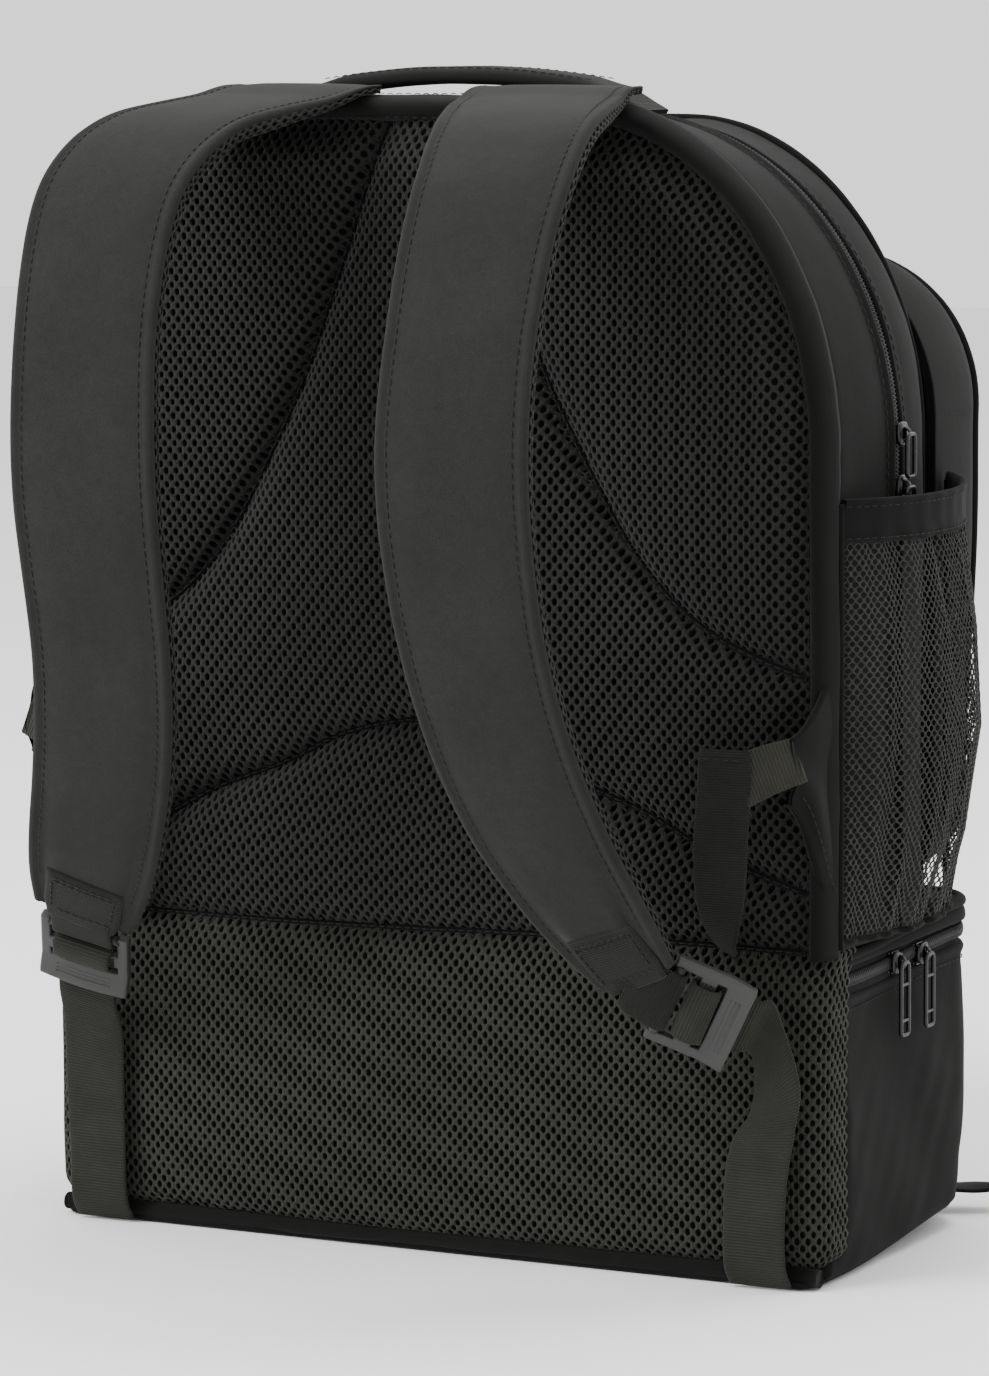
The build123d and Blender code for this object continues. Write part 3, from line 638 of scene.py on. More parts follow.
def stitches(path, normal, length=2.6, gap=1.2, r=0.33, lift=0.12):
    """Rows of small thread capsules along a path; normal: outward direction(s)."""
    path = np.asarray(path, float)
    d = np.concatenate([[0], np.cumsum(np.linalg.norm(np.diff(path, axis=0), axis=1))])
    count = int(d[-1] // (length + gap))
    normal = np.broadcast_to(np.asarray(normal, float), path.shape)
    parts = []
    ts = np.array([-0.5, -0.3, 0.0, 0.3, 0.5])
    rr = np.array([0.35, 0.95, 1.0, 0.95, 0.35]) * r
    hh = np.array([-0.5, 0.55, 1.0, 0.55, -0.5]) * r
    a = np.linspace(0, 2 * np.pi, 6, endpoint=False)
    for i in range(count):
        c = (i + 0.5) * (length + gap)
        s = c + ts * length
        p = np.stack([np.interp(s, d, path[:, k]) for k in range(3)], 1)
        n = unit(np.stack([np.interp(s, d, normal[:, k]) for k in range(3)], 1))
        t = unit(p[-1] - p[0])
        b = np.cross(t, n)
        centre = p + n * (hh + lift)[:, None]
        V = centre[:, None] + b[:, None] * (rr[:, None] * np.cos(a))[..., None] + n[:, None] * (rr[:, None] * np.sin(a) * 0.8)[..., None]
        F = grid_faces(5, 6, False, True, flip=True)
        parts.append((V.reshape(-1, 3), [F, np.arange(6)[None, :], (np.arange(6)[::-1] + 24)[None, :]], None))
    return join(parts)


# ---------------------------------------------------------------------------
# outlines
# ---------------------------------------------------------------------------
HALF_W, TOP, RX, RY = 164.0, 432.0, 104.0, 128.0
SEAM_Z = 123.0


def top_drop(y):
    """How far the top of the bag has fallen at a depth y, compared with the back panel."""
    return float(np.interp(y, [-10, 0, 5, 12, 20, 28, 36, 45, 50, 55, 61, 72, 80, 88, 93, 97, 98.5, 110],
                           [0, 0, 0.8, 2.2, 4.0, 5.6, 7.0, 8.2, 8.8, 9.4, 9.8, 9.5, 8.2, 6.2, 3.8, 1.0, 0, 0]))


def outline(inset, z0, n_side=40, n_arc=44, n_top=26, bottom=0, fall=0.0):
    """Points (x, z) of the back panel's edge, from the left foot over the top to the right foot."""
    w, rx, ry = HALF_W - inset, RX - inset, RY - inset - fall
    cx, cz = w - rx, TOP - RY
    a = np.linspace(0, np.pi / 2, n_arc)
    left = np.stack([np.full(n_side, -w), np.linspace(z0, cz, n_side)], 1)
    la = np.stack([-cx - rx * np.cos(a), cz + ry * np.sin(a)], 1)[1:]
    top = np.stack([np.linspace(-cx, cx, n_top), np.full(n_top, cz + ry)], 1)[1:-1]
    ra = np.stack([cx + rx * np.sin(a), cz + ry * np.cos(a)], 1)
    right = np.stack([np.full(n_side, w), np.linspace(cz, z0, n_side)], 1)[1:]
    pts = np.vstack([left, la, top, ra, right])
    if bottom:
        pts = np.vstack([pts, np.stack([np.linspace(w, -w, bottom + 2)[1:-1], np.full(bottom, z0)], 1)])
    return pts


def outward2(pts, closed=False):
    t = (np.roll(pts, -1, 0) - np.roll(pts, 1, 0)) if closed else np.gradient(pts, axis=0)
    t = t / np.linalg.norm(t, axis=1, keepdims=True)
    return np.stack([-t[:, 1], t[:, 0]], 1)


# ---------------------------------------------------------------------------
# back panel: height field with sewn channels
# ---------------------------------------------------------------------------
BELL = catmull([(11, 436), (24, 400), (38, 362), (51, 329), (69, 294), (89, 262), (112, 241), (138, 229), (172, 219)], 10)
ARCH = catmull([(-172, 138), (-154, 145), (-132, 152), (-112, 160), (-90, 171), (-61, 182), (-33, 195), (0, 201),
                (33, 195), (61, 182), (90, 171), (112, 160), (132, 152), (154, 145), (172, 138)], 10)
BELL_L = BELL * np.array([-1, 1])
SEAM = np.stack([np.linspace(-172, 172, 80), SEAM_Z + 1.5 * np.sin(np.linspace(-172, 172, 80) / 60.0) - 0.5], 1)
EDGE = outline(6.5, 12.0)

GX = np.arange(-166.0, 166.5, 1.0)
GZ = np.arange(6.0, 434.5, 1.0)


def dist_field(curve):
    """Unsigned distance from every grid point to a polyline."""
    c = resample(curve, step=1.5)
    X, Z = np.meshgrid(GX, GZ, indexing="ij")
    P = np.stack([X.ravel(), Z.ravel()], 1)
    out = np.empty(len(P))
    for i in range(0, len(P), 20000):
        q = P[i:i + 20000]
        out[i:i + 20000] = np.sqrt(((q[:, None, :] - c[None]) ** 2).sum(2).min(1))
    return out.reshape(X.shape)


d_bell = np.minimum(dist_field(BELL), dist_field(BELL_L))
d_arch = dist_field(ARCH)
d_seam = dist_field(SEAM)
d_edge = dist_field(EDGE)
XX, ZZ = np.meshgrid(GX, GZ, indexing="ij")
upper = ZZ > SEAM_Z - 1
crown = 9.2 * (1 - 0.62 * (np.abs(XX) / 157) ** 2)
d_chan = np.where(upper, np.minimum(d_bell, d_arch), 60.0)
pillow = 4.0 * (1 - np.exp(-((np.minimum(d_chan, d_seam) / 26.0) ** 1.6)))
body_h = 3.0 + crown + np.where(upper, pillow, 2.2 * (1 - np.exp(-((d_seam / 22.0) ** 1.5))))
rim = np.where(upper, smoothstep(d_edge, 0.0, 17.0), 1.0)
rim_low = 1.0 - 0.10 * (1 - smoothstep(ZZ, 14.0, 34.0))
H = 2.2 + (body_h - 2.2) * (0.14 + 0.86 * rim) * np.where(upper, 1.0, rim_low)
H -= 9.6 * np.exp(-((d_chan / 3.9) ** 1.15)) * (0.25 + 0.75 * rim)
H -= 7.6 * np.exp(-((d_seam / 3.9) ** 1.15)) * (0.3 + 0.7 * rim)
PXZ = np.stack([XX, 0 * XX, ZZ], -1)
H += 0.55 * ripple(PXZ, 34.0, 2) * rim
# soft dimples that run off the seams
H += 0.5 * ripple(PXZ * np.array([1.0, 1, 0.35]), 16.0, 5) * np.exp(-((d_seam / 22.0) ** 2)) * rim
H = np.maximum(H, 1.4)
Hx = np.gradient(H, 1.0, axis=0)
Hz = np.gradient(H, 1.0, axis=1)


def bil(F, x, z):
    fx = np.clip((x - GX[0]), 0, len(GX) - 1.001)
    fz = np.clip((z - GZ[0]), 0, len(GZ) - 1.001)
    i, j = fx.astype(int), fz.astype(int)
    a, b = fx - i, fz - j
    return (F[i, j] * (1 - a) * (1 - b) + F[i + 1, j] * a * (1 - b) + F[i, j + 1] * (1 - a) * b + F[i + 1, j + 1] * a * b)


def panel_map(x, z):
    h = bil(H, x, z)
    P = np.stack([x, -h, z], -1)
    N = unit(np.stack([-bil(Hx, x, z), -np.ones_like(x), -bil(Hz, x, z)], -1))
    return P, N


def hexcells(cx, cz, fmap, a=4.3, b=5.2, turn=0.0, hole=(0.90, 1.50), depth=1.7, lip=0.32, close=None, floor=True, warp=None):
    """Open-knit cells around the centres given; fmap maps plan points to surface points and normals.
    Returns verts, faces list, material ids (1 = inside the holes, painted near black as shade)."""
    n = len(cx)
    q = (b * b - a * a) / (4 * b)
    p = (a * a + b * b) / (4 * b)
    hexa = np.array([(a / 2, -q), (a / 2, q), (0, p), (-a / 2, q), (-a / 2, -q), (0, -p)])
    rim_ = np.array([(hole[0], -hole[1] * 0.42), (hole[0], hole[1] * 0.42), (0, hole[1]),
                     (-hole[0], hole[1] * 0.42), (-hole[0], -hole[1] * 0.42), (0, -hole[1])])
    c, s = math.cos(turn), math.sin(turn)
    R = np.array([[c, s], [-s, c]])
    hexa, rim_ = hexa @ R, rim_ @ R
    C = np.stack([cx, cz], 1)
    outer = C[:, None, :] + hexa[None]
    jit = 1 + 0.10 * np.sin(cx * 12.9898 + cz * 78.233)[:, None, None]
    inner = C[:, None, :] + rim_[None] * jit
    key = np.round(outer.reshape(-1, 2) * 50).astype(np.int64)
    code = key[:, 0] * 1000003 + key[:, 1]
    # snap keys that rounding has split
    uniq, first, inv = np.unique(code, return_index=True, return_inverse=True)
    ov = outer.reshape(-1, 2)[first]
    PO, NO = fmap(ov[:, 0], ov[:, 1])
    PI, NI = fmap(inner.reshape(-1, 2)[:, 0], inner.reshape(-1, 2)[:, 1])
    rimv = PI - NI * lip
    base = len(PO)
    oi = inv.reshape(n, 6)
    ri = base + np.arange(n * 6).reshape(n, 6)
    verts = [PO, rimv]
    j = np.arange(6)
    k = (j + 1) % 6
    quads = [np.stack([oi[:, j], oi[:, k], ri[:, k], ri[:, j]], -1).reshape(-1, 4)]
    ids = [np.zeros(n * 6, int)]
    polys = []
    # hole walls and floors take material 1, the near-black painted shade
    if floor:
        shrink = C[:, None, :] + (inner - C[:, None, :]) * 0.86
        PF, NF = fmap(shrink.reshape(-1, 2)[:, 0], shrink.reshape(-1, 2)[:, 1])
        verts.append(PF - NF * depth)
        fi = base + n * 6 + np.arange(n * 6).reshape(n, 6)
        quads.append(np.stack([ri[:, j], ri[:, k], fi[:, k], fi[:, j]], -1).reshape(-1, 4))
        ids.append(np.ones(n * 6, int))
        polys = [fi]
        ids.append(np.ones(n, int))
    V = np.concatenate(verts)
    F = [np.concatenate(quads)] + polys
    return V, F, np.concatenate(ids)


def lattice(x0, x1, z0, z1, a=4.3, b=5.2, turn=0.0, off=(0.0, 0.0)):
    """Centres of a centred rectangular lattice that covers the window, turned about its middle."""
    cx0, cz0 = (x0 + x1) / 2, (z0 + z1) / 2
    R = math.hypot(x1 - x0, z1 - z0) / 2 + 8
    i = np.arange(-int(R / a) - 1, int(R / a) + 2)
    j = np.arange(-int(R / b) - 1, int(R / b) + 2)
    I, J = np.meshgrid(i, j, indexing="ij")
    A = np.stack([I.ravel() * a, J.ravel() * b], 1)
    B = A + np.array([a / 2, b / 2])
    P = np.vstack([A, B]) + np.array(off)
    c, s = math.cos(turn), math.sin(turn)
    P = P @ np.array([[c, s], [-s, c]]) + np.array([cx0, cz0])
    k = (P[:, 0] > x0) & (P[:, 0] < x1) & (P[:, 1] > z0) & (P[:, 1] < z1)
    return P[k]


def side_of(curve, x, z):
    """True where a point lies below a curve given as z over x, x rising."""
    c = curve[np.argsort(curve[:, 0])]
    return z < np.interp(x, c[:, 0], c[:, 1])


def in_outline(x, z, inset):
    w, rx, ry = HALF_W - inset, RX - inset, RY - inset
    cx, cz = w - rx, TOP - RY
    ok = (np.abs(x) < w) & (z < TOP - inset)
    k = (np.abs(x) > cx) & (z > cz)
    return ok & (~k | (((np.abs(x) - cx) / rx) ** 2 + ((z - cz) / ry) ** 2 < 1))


def close_back(o, y=-0.4, wrapped=False):
    """Closes an open pad: its jagged border runs straight back to the panel and is filled there."""
    bm = bmesh.new()
    bm.from_mesh(o.data)
    edges = [e for e in bm.edges if e.is_boundary]
    ret = bmesh.ops.extrude_edge_only(bm, edges=edges)
    new = [g for g in ret["geom"] if isinstance(g, bmesh.types.BMVert)]
    for v in new:
        if wrapped:
            v.co.x = max(-160.6 * MM, min(160.6 * MM, v.co.x))
            v.co.y = max(0.6 * MM, v.co.y)
        else:
            v.co.y = y * MM
    # the closing sides take material 1, the near-black painted shade
    nf = [g for g in ret["geom"] if isinstance(g, bmesh.types.BMFace)]
    for f in nf:
        f.material_index = 1
    border = [g for g in ret["geom"] if isinstance(g, bmesh.types.BMEdge) and g.is_boundary]
    bmesh.ops.triangle_fill(bm, use_beauty=False, use_dissolve=False, edges=border)
    bmesh.ops.recalc_face_normals(bm, faces=bm.faces)
    for f in bm.faces:
        f.smooth = True
    bm.to_mesh(o.data)
    bm.free()


WRAP_X, WRAP_R, FOOT_Z, FOOT_R = 152.5, 11.5, 16.0, 11.0


def low_map(x, z):
    """The lower pad goes on round both sides of the bag and a little way under it."""
    zc = np.maximum(z, FOOT_Z)
    xc = np.clip(x, -WRAP_X, WRAP_X)
    sg = np.sign(x)
    P, N = panel_map(xc, zc)
    t = np.clip((np.abs(x) - WRAP_X) / WRAP_R, 0, np.pi / 2)
    rest = np.maximum(np.abs(x) - WRAP_X - WRAP_R * np.pi / 2, 0)
    turned = np.stack([sg * np.sin(t), -np.cos(t), 0 * t], -1)
    wrapped = np.stack([sg * (WRAP_X + WRAP_R * np.sin(t)), P[:, 1] + WRAP_R * (1 - np.cos(t)) + rest, zc], -1)
    over = (np.abs(x) > WRAP_X)[:, None]
    P = np.where(over, wrapped, P)
    N = np.where(over, unit(turned + N * np.array([0, 0, 1.0])), N)
    f = np.clip((FOOT_Z - z) / FOOT_R, 0, 1.45)[:, None]
    down = np.array([0, 0, -1.0])
    flat = N * np.array([1, 1, 0.0])
    P = P - flat * FOOT_R * (1 - np.cos(f)) + down * FOOT_R * np.sin(f)
    return P, unit(N * np.cos(f) + down * np.sin(f))


def pad(name, node, mask, window, turn=0.0, off=(0, 0), body_fill=0.6, fmap=None, yarn_="air"):
    P = lattice(*window, turn=turn, off=off)
    P = P[mask(P[:, 0], P[:, 1])]
    V, F, ids = hexcells(P[:, 0], P[:, 1], fmap or panel_map, turn=turn)
    # second material: painted shade inside the holes and on the closing sides
    o = make_piece(name, V, F, [yarn_, "air_deep"], node=node, slot="air_mesh", mat_ids=ids, padded=body_fill)
    close_back(o, wrapped=fmap is not None)
    return o


EDGE_IN = 6.0
right_of_bell = lambda x, z: np.where(z > 436, x > 11, x > np.interp(-z, -BELL[:, 1], BELL[:, 0]))


def centre_mask(x, z):
    g = 1.2
    xb = np.interp(-z, -BELL[:, 1], BELL[:, 0])
    return in_outline(x, z, EDGE_IN) & (np.abs(x) < xb + g) & ~side_of(ARCH, x, z + g)


def right_mask(x, z):
    g = 1.2
    xb = np.interp(-z, -BELL[:, 1], BELL[:, 0])
    return in_outline(x, z, EDGE_IN) & (x > xb - g) & (z > 215)


def left_mask(x, z):
    return right_mask(-x, z)


def lumbar_mask(x, z):
    g = 1.2
    zs = np.interp(x, SEAM[:, 0], SEAM[:, 1])
    return in_outline(x, z, EDGE_IN) & side_of(ARCH, x, z - g) & (z > zs - g)


def lower_mask(x, z):
    zs = np.interp(x, SEAM[:, 0], SEAM[:, 1])
    top = np.where(np.abs(x) > 157.0, np.minimum(zs + 1.2, 122.5), zs + 1.2)
    return (np.abs(x) < 179.5) & (z < top) & (z > 1.5)


pad("back_pad_centre_mesh", "back_pad_centre", centre_mask, (-166, 166, 130, 434), turn=math.radians(0.5))
pad("back_pad_right_mesh", "back_pad_right", right_mask, (0, 166, 210, 434), turn=math.radians(-1.5), off=(1.1, 0.7))
pad("back_pad_left_mesh", "back_pad_left", left_mask, (-166, 0, 210, 434), turn=math.radians(2.0), off=(0.4, 1.3))
pad("lumbar_pad_mesh", "lumbar_pad", lumbar_mask, (-166, 166, 112, 210), turn=math.radians(-5.0), off=(1.6, 0.2))
pad("lower_back_pad_mesh", "lower_back_pad", lower_mask, (-184, 184, -4, 128), turn=math.radians(0.0), off=(0.5, 0.0), fmap=low_map,
    yarn_="air_low")

# painted shadow: dark tubes laid along the bottom of the sewn channels stand in for the shade in the grooves, with the
# stitches along them
for nm, curve in (("right", BELL), ("left", BELL_L), ("arch", ARCH), ("shoe", SEAM)):
    c = resample(curve, step=2.0)
    c = c[in_outline(c[:, 0], c[:, 1], 8.0)]
    P, N = panel_map(c[:, 0], c[:, 1])
    v, f, uv = sweep(P + N * 0.1, circle(1.25, 8), N, scale=1 + 0.06 * ripple(P, 9.0, 3))
    make_piece("channel_cord_" + nm, v, f, "cord", slot="air_mesh", uv=uv)
    v, f, uv = stitches(P + N * 1.25, N, length=3.0, gap=0.9, r=0.3)
    make_piece("channel_stitch_" + nm, v, f, "thread", slot="air_mesh")

# ---------------------------------------------------------------------------
# edge roll round the back panel and the binding under it
# ---------------------------------------------------------------------------


def lift3(pts2, y):
    y = np.broadcast_to(np.asarray(y, float), (len(pts2),))
    return np.stack([pts2[:, 0], y, pts2[:, 1]], 1)


def edge_loop(inset, y):
    q = resample(outline(inset, 121.5), n=330)
    m = outward2(q)
    k = 0.30 * ripple(lift3(q, y * 0.4), 26.0, 3) + 0.18 * ripple(lift3(q, y), 9.0, 8)
    return lift3(q + m * k[:, None], y + 0.25 * ripple(lift3(q, y), 22.0, 9))


rows = [(8.4, -2.2), (7.3, -5.0), (6.2, -7.0), (4.8, -8.2), (3.3, -8.4), (1.9, -7.5), (0.8, -5.8), (0.0, -3.4), (-0.6, -0.6), (-0.9, 2.2),
        (-0.7, 4.6), (1.6, 4.4), (5.0, 1.0)]
V = np.stack([edge_loop(i_, y_) for i_, y_ in rows], 0)
nr, nc = V.shape[:2]
make_piece("back_edge_roll", V.reshape(-1, 3), [grid_faces(nr, nc, True, False), (np.arange(nr) * nc)[None, :], (np.arange(nr) * nc + nc - 1)[None, ::-1]],
           "shell", node="back_piping", slot="binding", uv=lengths_uv(V)[:, ::-1])
# stitch row on the mesh side of the roll
q = resample(outline(6.9, 126.0), step=3.0)
m = outward2(q)
v, f, uv = stitches(lift3(q, -6.3), np.stack([0.7 * m[:, 0] * -1, 0 * m[:, 0] - 0.7, 0.7 * m[:, 1] * -1], 1), length=2.4, gap=1.5, r=0.26)
make_piece("back_roll_stitch", v, f, "thread", slot="binding")

xs = np.linspace(-160.5, 160.5, 150)
wave = 0.9 * ripple(np.stack([xs, 0 * xs, 0 * xs], 1), 17.0, 7)
P = np.stack([xs, -3.6 - 3.2 * (1 - (np.abs(xs) / 160) ** 2) + 0.5 * wave, 4.3 + wave * 0.5 + 0.5 * np.cos(xs / 52.0)], 1)
v, f, uv = sweep(P, np.array([(3.6 * math.cos(t), 3.4 * math.sin(t)) for t in np.linspace(0, 2 * math.pi, 16, endpoint=False)]),
                 (0, 0, 1), scale=1 + 0.06 * ripple(P, 12.0, 8))
make_piece("bottom_binding_roll", v, f, "roll", node="bottom_binding", slot="binding", uv=uv)

# ---------------------------------------------------------------------------
# ring shells: outline loops at rising insets
# ---------------------------------------------------------------------------


def ring_shell(loops, jitter=None):
    """loops: list of (n,3) closed loops; returns verts, faces, uv as a tube of rings."""
    V = np.stack(loops, 0)
    uv = lengths_uv(V)
    uv = uv[:, ::-1]
    F = grid_faces(V.shape[0], V.shape[1], False, True)
    return V, F, uv


def panel_loop(inset, y, z0, bottom=60):
    p = outline(inset, z0, n_side=46, n_arc=54, n_top=30, bottom=bottom, fall=top_drop(y))
    return lift3(p, y), outward2(p, True)


def shell_piece(name, rows, mats, node, slot, ripple_amp=0.7, ripple_scale=30.0, seed=1, close_to=None, flip=False, z_bottom=None, **kw):
    """rows: (inset, y) pairs from the back forward."""
    loops = []
    for i, (inset, y) in enumerate(rows):
        L, n = panel_loop(inset, y, (124.0 if z_bottom is None else z_bottom) + max(0.0, inset * 0.6))
        amp = ripple_amp * (1.0 if 0 < i < len(rows) - 1 else 0.0)
        k = ripple(L, ripple_scale, seed) * amp + 0.35 * amp * ripple(L, ripple_scale / 3, seed + 3)
        L = L + np.stack([n[:, 0] * k, 0 * k, n[:, 1] * k], 1)
        loops.append(L)
    V, F, uv = ring_shell(loops)
    n = V.shape[1]
    faces = [F[:, ::-1] if flip else F]
    verts = V.reshape(-1, 3)
    if close_to is not None:
        faces.append(np.arange((V.shape[0] - 1) * n, V.shape[0] * n)[None, :][:, ::-1] if flip else np.arange((V.shape[0] - 1) * n, V.shape[0] * n)[None, :])
    return make_piece(name, verts, faces, mats, node=node, slot=slot, uv=uv, **kw)


# rear gusset, from under the roll to the folded edge beside the zip
shell_piece("main_rear_gusset",
            [(6, 1.2), (2.5, 0.6), (0.4, 1.0), (-0.5, 3.4), (-0.8, 8), (-0.9, 12), (-1.0, 20), (-1.3, 28), (-1.2, 36), (-0.9, 42), (-0.9, 45.4),
             (-1.6, 47.0), (-2.3, 48.4), (-2.2, 49.6), (-1.2, 50.4), (0.6, 50.4), (2.6, 49.5), (2.8, 44), (2.6, 20), (3.5, 4), (6, 3)],
            "shell", "main_rear_shell", "shell_fabric", ripple_amp=0.55, ripple_scale=34, seed=2, padded=0.5)

# main zip: tape, coil
tape_rows = [(1.4, 49.4), (0.2, 49.2), (-0.2, 51), (-0.2, 53), (-0.2, 55), (0.2, 56.8), (1.4, 56.6)]


def arch_path(inset, z_end, y, step=None, n=None):
    p = outline(inset, z_end, n_side=60, n_arc=70, n_top=40, fall=top_drop(y))
    return lift3(resample(p, step=step, n=n), y)


loops = [arch_path(i, 277.5, y, n=260) for i, y in tape_rows]
V = np.stack(loops, 0)
make_piece("main_zip_tape_cloth", V.reshape(-1, 3), [grid_faces(*V.shape[:2])], "tape", node="main_zip_tape", slot="zip_tape",
           uv=lengths_uv(V)[:, ::-1])


# front half: folded edge, gusset, rounded edge, front face
shell_piece("main_front_body",
            [(6, 58.0), (2.6, 56.4), (0.6, 55.6), (-1.2, 55.6), (-2.2, 56.4), (-2.3, 57.6), (-1.6, 59.0), (-0.9, 61), (-0.7, 66), (0.0, 72), (1.4, 80),
             (3.6, 88), (6.0, 93), (7.6, 95.5), (9.0, 97.0), (11.0, 98.4), (14, 99.6), (20, 101.0), (32, 102.6), (50, 104.0), (75, 104.8), (97, 105.2)],
            "shell", "main_front_shell", "shell_fabric", ripple_amp=0.8, ripple_scale=38, seed=5, close_to=True, padded=0.5)
# below each end of the zip the two halves are sewn edge to edge
for s_, nm in ((1, "right"), (-1, "left")):
    zz = np.linspace(123.5, 280.0, 70)
    lanes = [(162.0, 46.5), (164.4, 47.0), (164.7, 49.5), (164.2, 52.2), (163.6, 53.1), (164.2, 54.0), (164.7, 56.5), (164.4, 59.0), (162.0, 59.5)]
    V = np.stack([np.stack([s_ * (x_ + 0.12 * np.sin(zz / 9.0 + y_)), y_ + 0 * zz, zz], 1) for x_, y_ in lanes], 0)
    g_ = grid_faces(V.shape[0], V.shape[1], True, False)
    make_piece("main_side_seam_" + nm, V.reshape(-1, 3), [g_ if s_ > 0 else g_[:, ::-1]], "shell", slot="shell_fabric", uv=lengths_uv(V)[:, ::-1])
# piping where the front half's gusset meets its front
p2 = resample(outline(8.0, 124.0, fall=top_drop(96.6)), step=3.0)
n2f = outward2(p2)
P = lift3(p2, 96.6)
v, f, uv = sweep(P, circle(1.7, 10), np.stack([n2f[:, 0], 0 * n2f[:, 0], n2f[:, 1]], 1), scale=1 + 0.06 * ripple(P, 10, 3))
make_piece("main_front_piping", v, f, "roll", slot="binding", uv=uv)
# stitch rows beside the zip
for nm, ins, y in (("rear", -1.15, 44.6), ("front", -0.9, 61.6)):
    p = resample(outline(ins, 278.0, fall=top_drop(y)), step=2.0)
    nn = outward2(p)
    P = lift3(p, y) + 0.55 * ripple(lift3(p, y), 34 if nm == "rear" else 38, 2 if nm == "rear" else 5)[:, None] * np.stack([nn[:, 0], 0 * nn[:, 0], nn[:, 1]], 1)
    v, f, uv = stitches(P, np.stack([nn[:, 0], 0 * nn[:, 0], nn[:, 1]], 1), r=0.26)
    make_piece("main_zip_stitch_" + nm, v, f, "thread", slot="shell_fabric")

# ---------------------------------------------------------------------------
# shoe compartment
# ---------------------------------------------------------------------------
SHOE_W, SHOE_Y, SHOE_R = 161.0, 142.0, 26.0


def shoe_plan(grow, y0=2.0, r_back=3.0):
    """Closed plan of the shoe compartment as (x, y) with its outward normals."""
    w, yf, r = SHOE_W + grow, SHOE_Y + grow, SHOE_R + grow
    pts = []
    a = np.linspace(0, np.pi / 2, 16)
    pts += [(w, y) for y in np.linspace(y0 + r_back, yf - r, 46)]
    pts += [(w - r + r * math.cos(t), yf - r + r * math.sin(t)) for t in a[1:]]
    pts += [(x, yf) for x in np.linspace(w - r, -w + r, 70)[1:]]
    pts += [(-w + r + r * math.cos(t), yf - r + r * math.sin(t)) for t in (a + np.pi / 2)[1:]]
    pts += [(-w, y) for y in np.linspace(yf - r, y0 + r_back, 46)[1:]]
    pts += [(x, y0) for x in np.linspace(-w + r_back, w - r_back, 50)]
    p = np.array(pts)
    t = np.roll(p, -1, 0) - np.roll(p, 1, 0)
    t /= np.linalg.norm(t, axis=1, keepdims=True)
    return p, np.stack([t[:, 1], -t[:, 0]], 1)


def shoe_loops(rows, amp, seed, seam_rise=True):
    """rows: (grow, z); wrinkles run diagonally from the corners and sag towards the base."""
    loops = []
    zs = [z for _, z in rows]
    z_lo, z_hi = min(zs), max(zs)
    for g, z in rows:
        p, n = shoe_plan(g)
        P = np.stack([p[:, 0], p[:, 1], np.full(len(p), z)], 1)
        k = (z - z_lo) / max(z_hi - z_lo, 1e-6)
        fold = ripple(np.stack([P[:, 0], P[:, 1] + 0.55 * P[:, 2], P[:, 2] * 0.5], 1), 26.0, seed)
        fine = ripple(np.stack([P[:, 0], P[:, 1] - 0.3 * P[:, 2], P[:, 2]], 1), 9.0, seed + 4)
        lateral = amp * (0.9 * fold + 0.28 * fine)
        back = smoothstep(P[:, 1], 2.0, 16.0)
        belly = 2.6 * math.sin(math.pi * min(max(k, 0), 1)) * back
        out = (lateral + belly) * back
        P[:, :2] += n * out[:, None]
        if seam_rise:
            P[:, 2] += shoe_rise(P[:, 1]) * max(0.0, k * 1.6 - 0.6) + foot_rise(P[:, 1]) * max(0.0, 1 - k * 1.4)
        loops.append(P)
    return loops


def foot_rise(y):
    """The soft foot of the bag climbs towards its front."""
    return 8.5 * smoothstep(y, 18.0, 150.0)


def shoe_rise(y):
    """The top seam climbs a little towards the front of the side."""
    return 4.2 * smoothstep(y, 20.0, 120.0) - 1.0


rows = [(-4.0, 1.6), (-1.6, 1.4), (-0.2, 3.0), (0.1, 7)] + [(0.2, z) for z in np.linspace(12, 96, 22)] + [(0.2, 100.5), (0.7, 102.6), (1.6, 104.3), (1.9, 105.4), (1.4, 106.4), (-0.3, 106.6), (-2.0, 105.6)]
L = shoe_loops(rows, 1.25, 6)
V = np.stack(L, 0)
make_piece("shoe_box_cloth", V.reshape(-1, 3), [grid_faces(*V.shape[:2], False, True)[:, ::-1]], "shell", node="shoe_shell", slot="shell_fabric",
           uv=lengths_uv(V)[:, ::-1], padded=0.3)
# thread row below the zip
P = L[-6] + 0
p, n = shoe_plan(0)
sel = np.r_[0:len(p) - 50]
v, f, uv = stitches(P[sel] - np.array([0, 0, 1.6]), np.stack([n[sel, 0], n[sel, 1], 0 * n[sel, 0]], 1), r=0.26)
make_piece("shoe_zip_stitch", v, f, "thread", slot="shell_fabric")

# top of the shoe compartment: short wall above the zip and the shelf under the main compartment
rows = [(-2.0, 118.2), (-0.3, 117.4), (1.2, 117.5), (1.7, 118.4), (1.2, 119.4), (0.4, 121.0), (0.2, 122.4), (-1.5, 123.4), (-6, 123.6), (-16, 123.8), (-40, 124.0), (-62, 124.0)]
L2 = shoe_loops(rows, 0.35, 9, False)
for i, P in enumerate(L2):
    P[:, 2] += shoe_rise(P[:, 1]) * (0.4 + max(0.0, (P[0, 2] - 117.4) / 6.6 * 1.6 - 0.6)) - 1.0
V = np.stack(L2, 0)
# the shelf stays below the main compartment
keep = V.reshape(-1, 3)
make_piece("shoe_top_cloth", keep, [grid_faces(*V.shape[:2], False, True)[:, ::-1], np.arange((V.shape[0] - 1) * V.shape[1], V.shape[0] * V.shape[1])[None, :]],
           "shell", node="shoe_ceiling", slot="shell_fabric", uv=lengths_uv(V)[:, ::-1])

p, n = shoe_plan(0.0)
side_sel = np.r_[4:len(p) - 54]


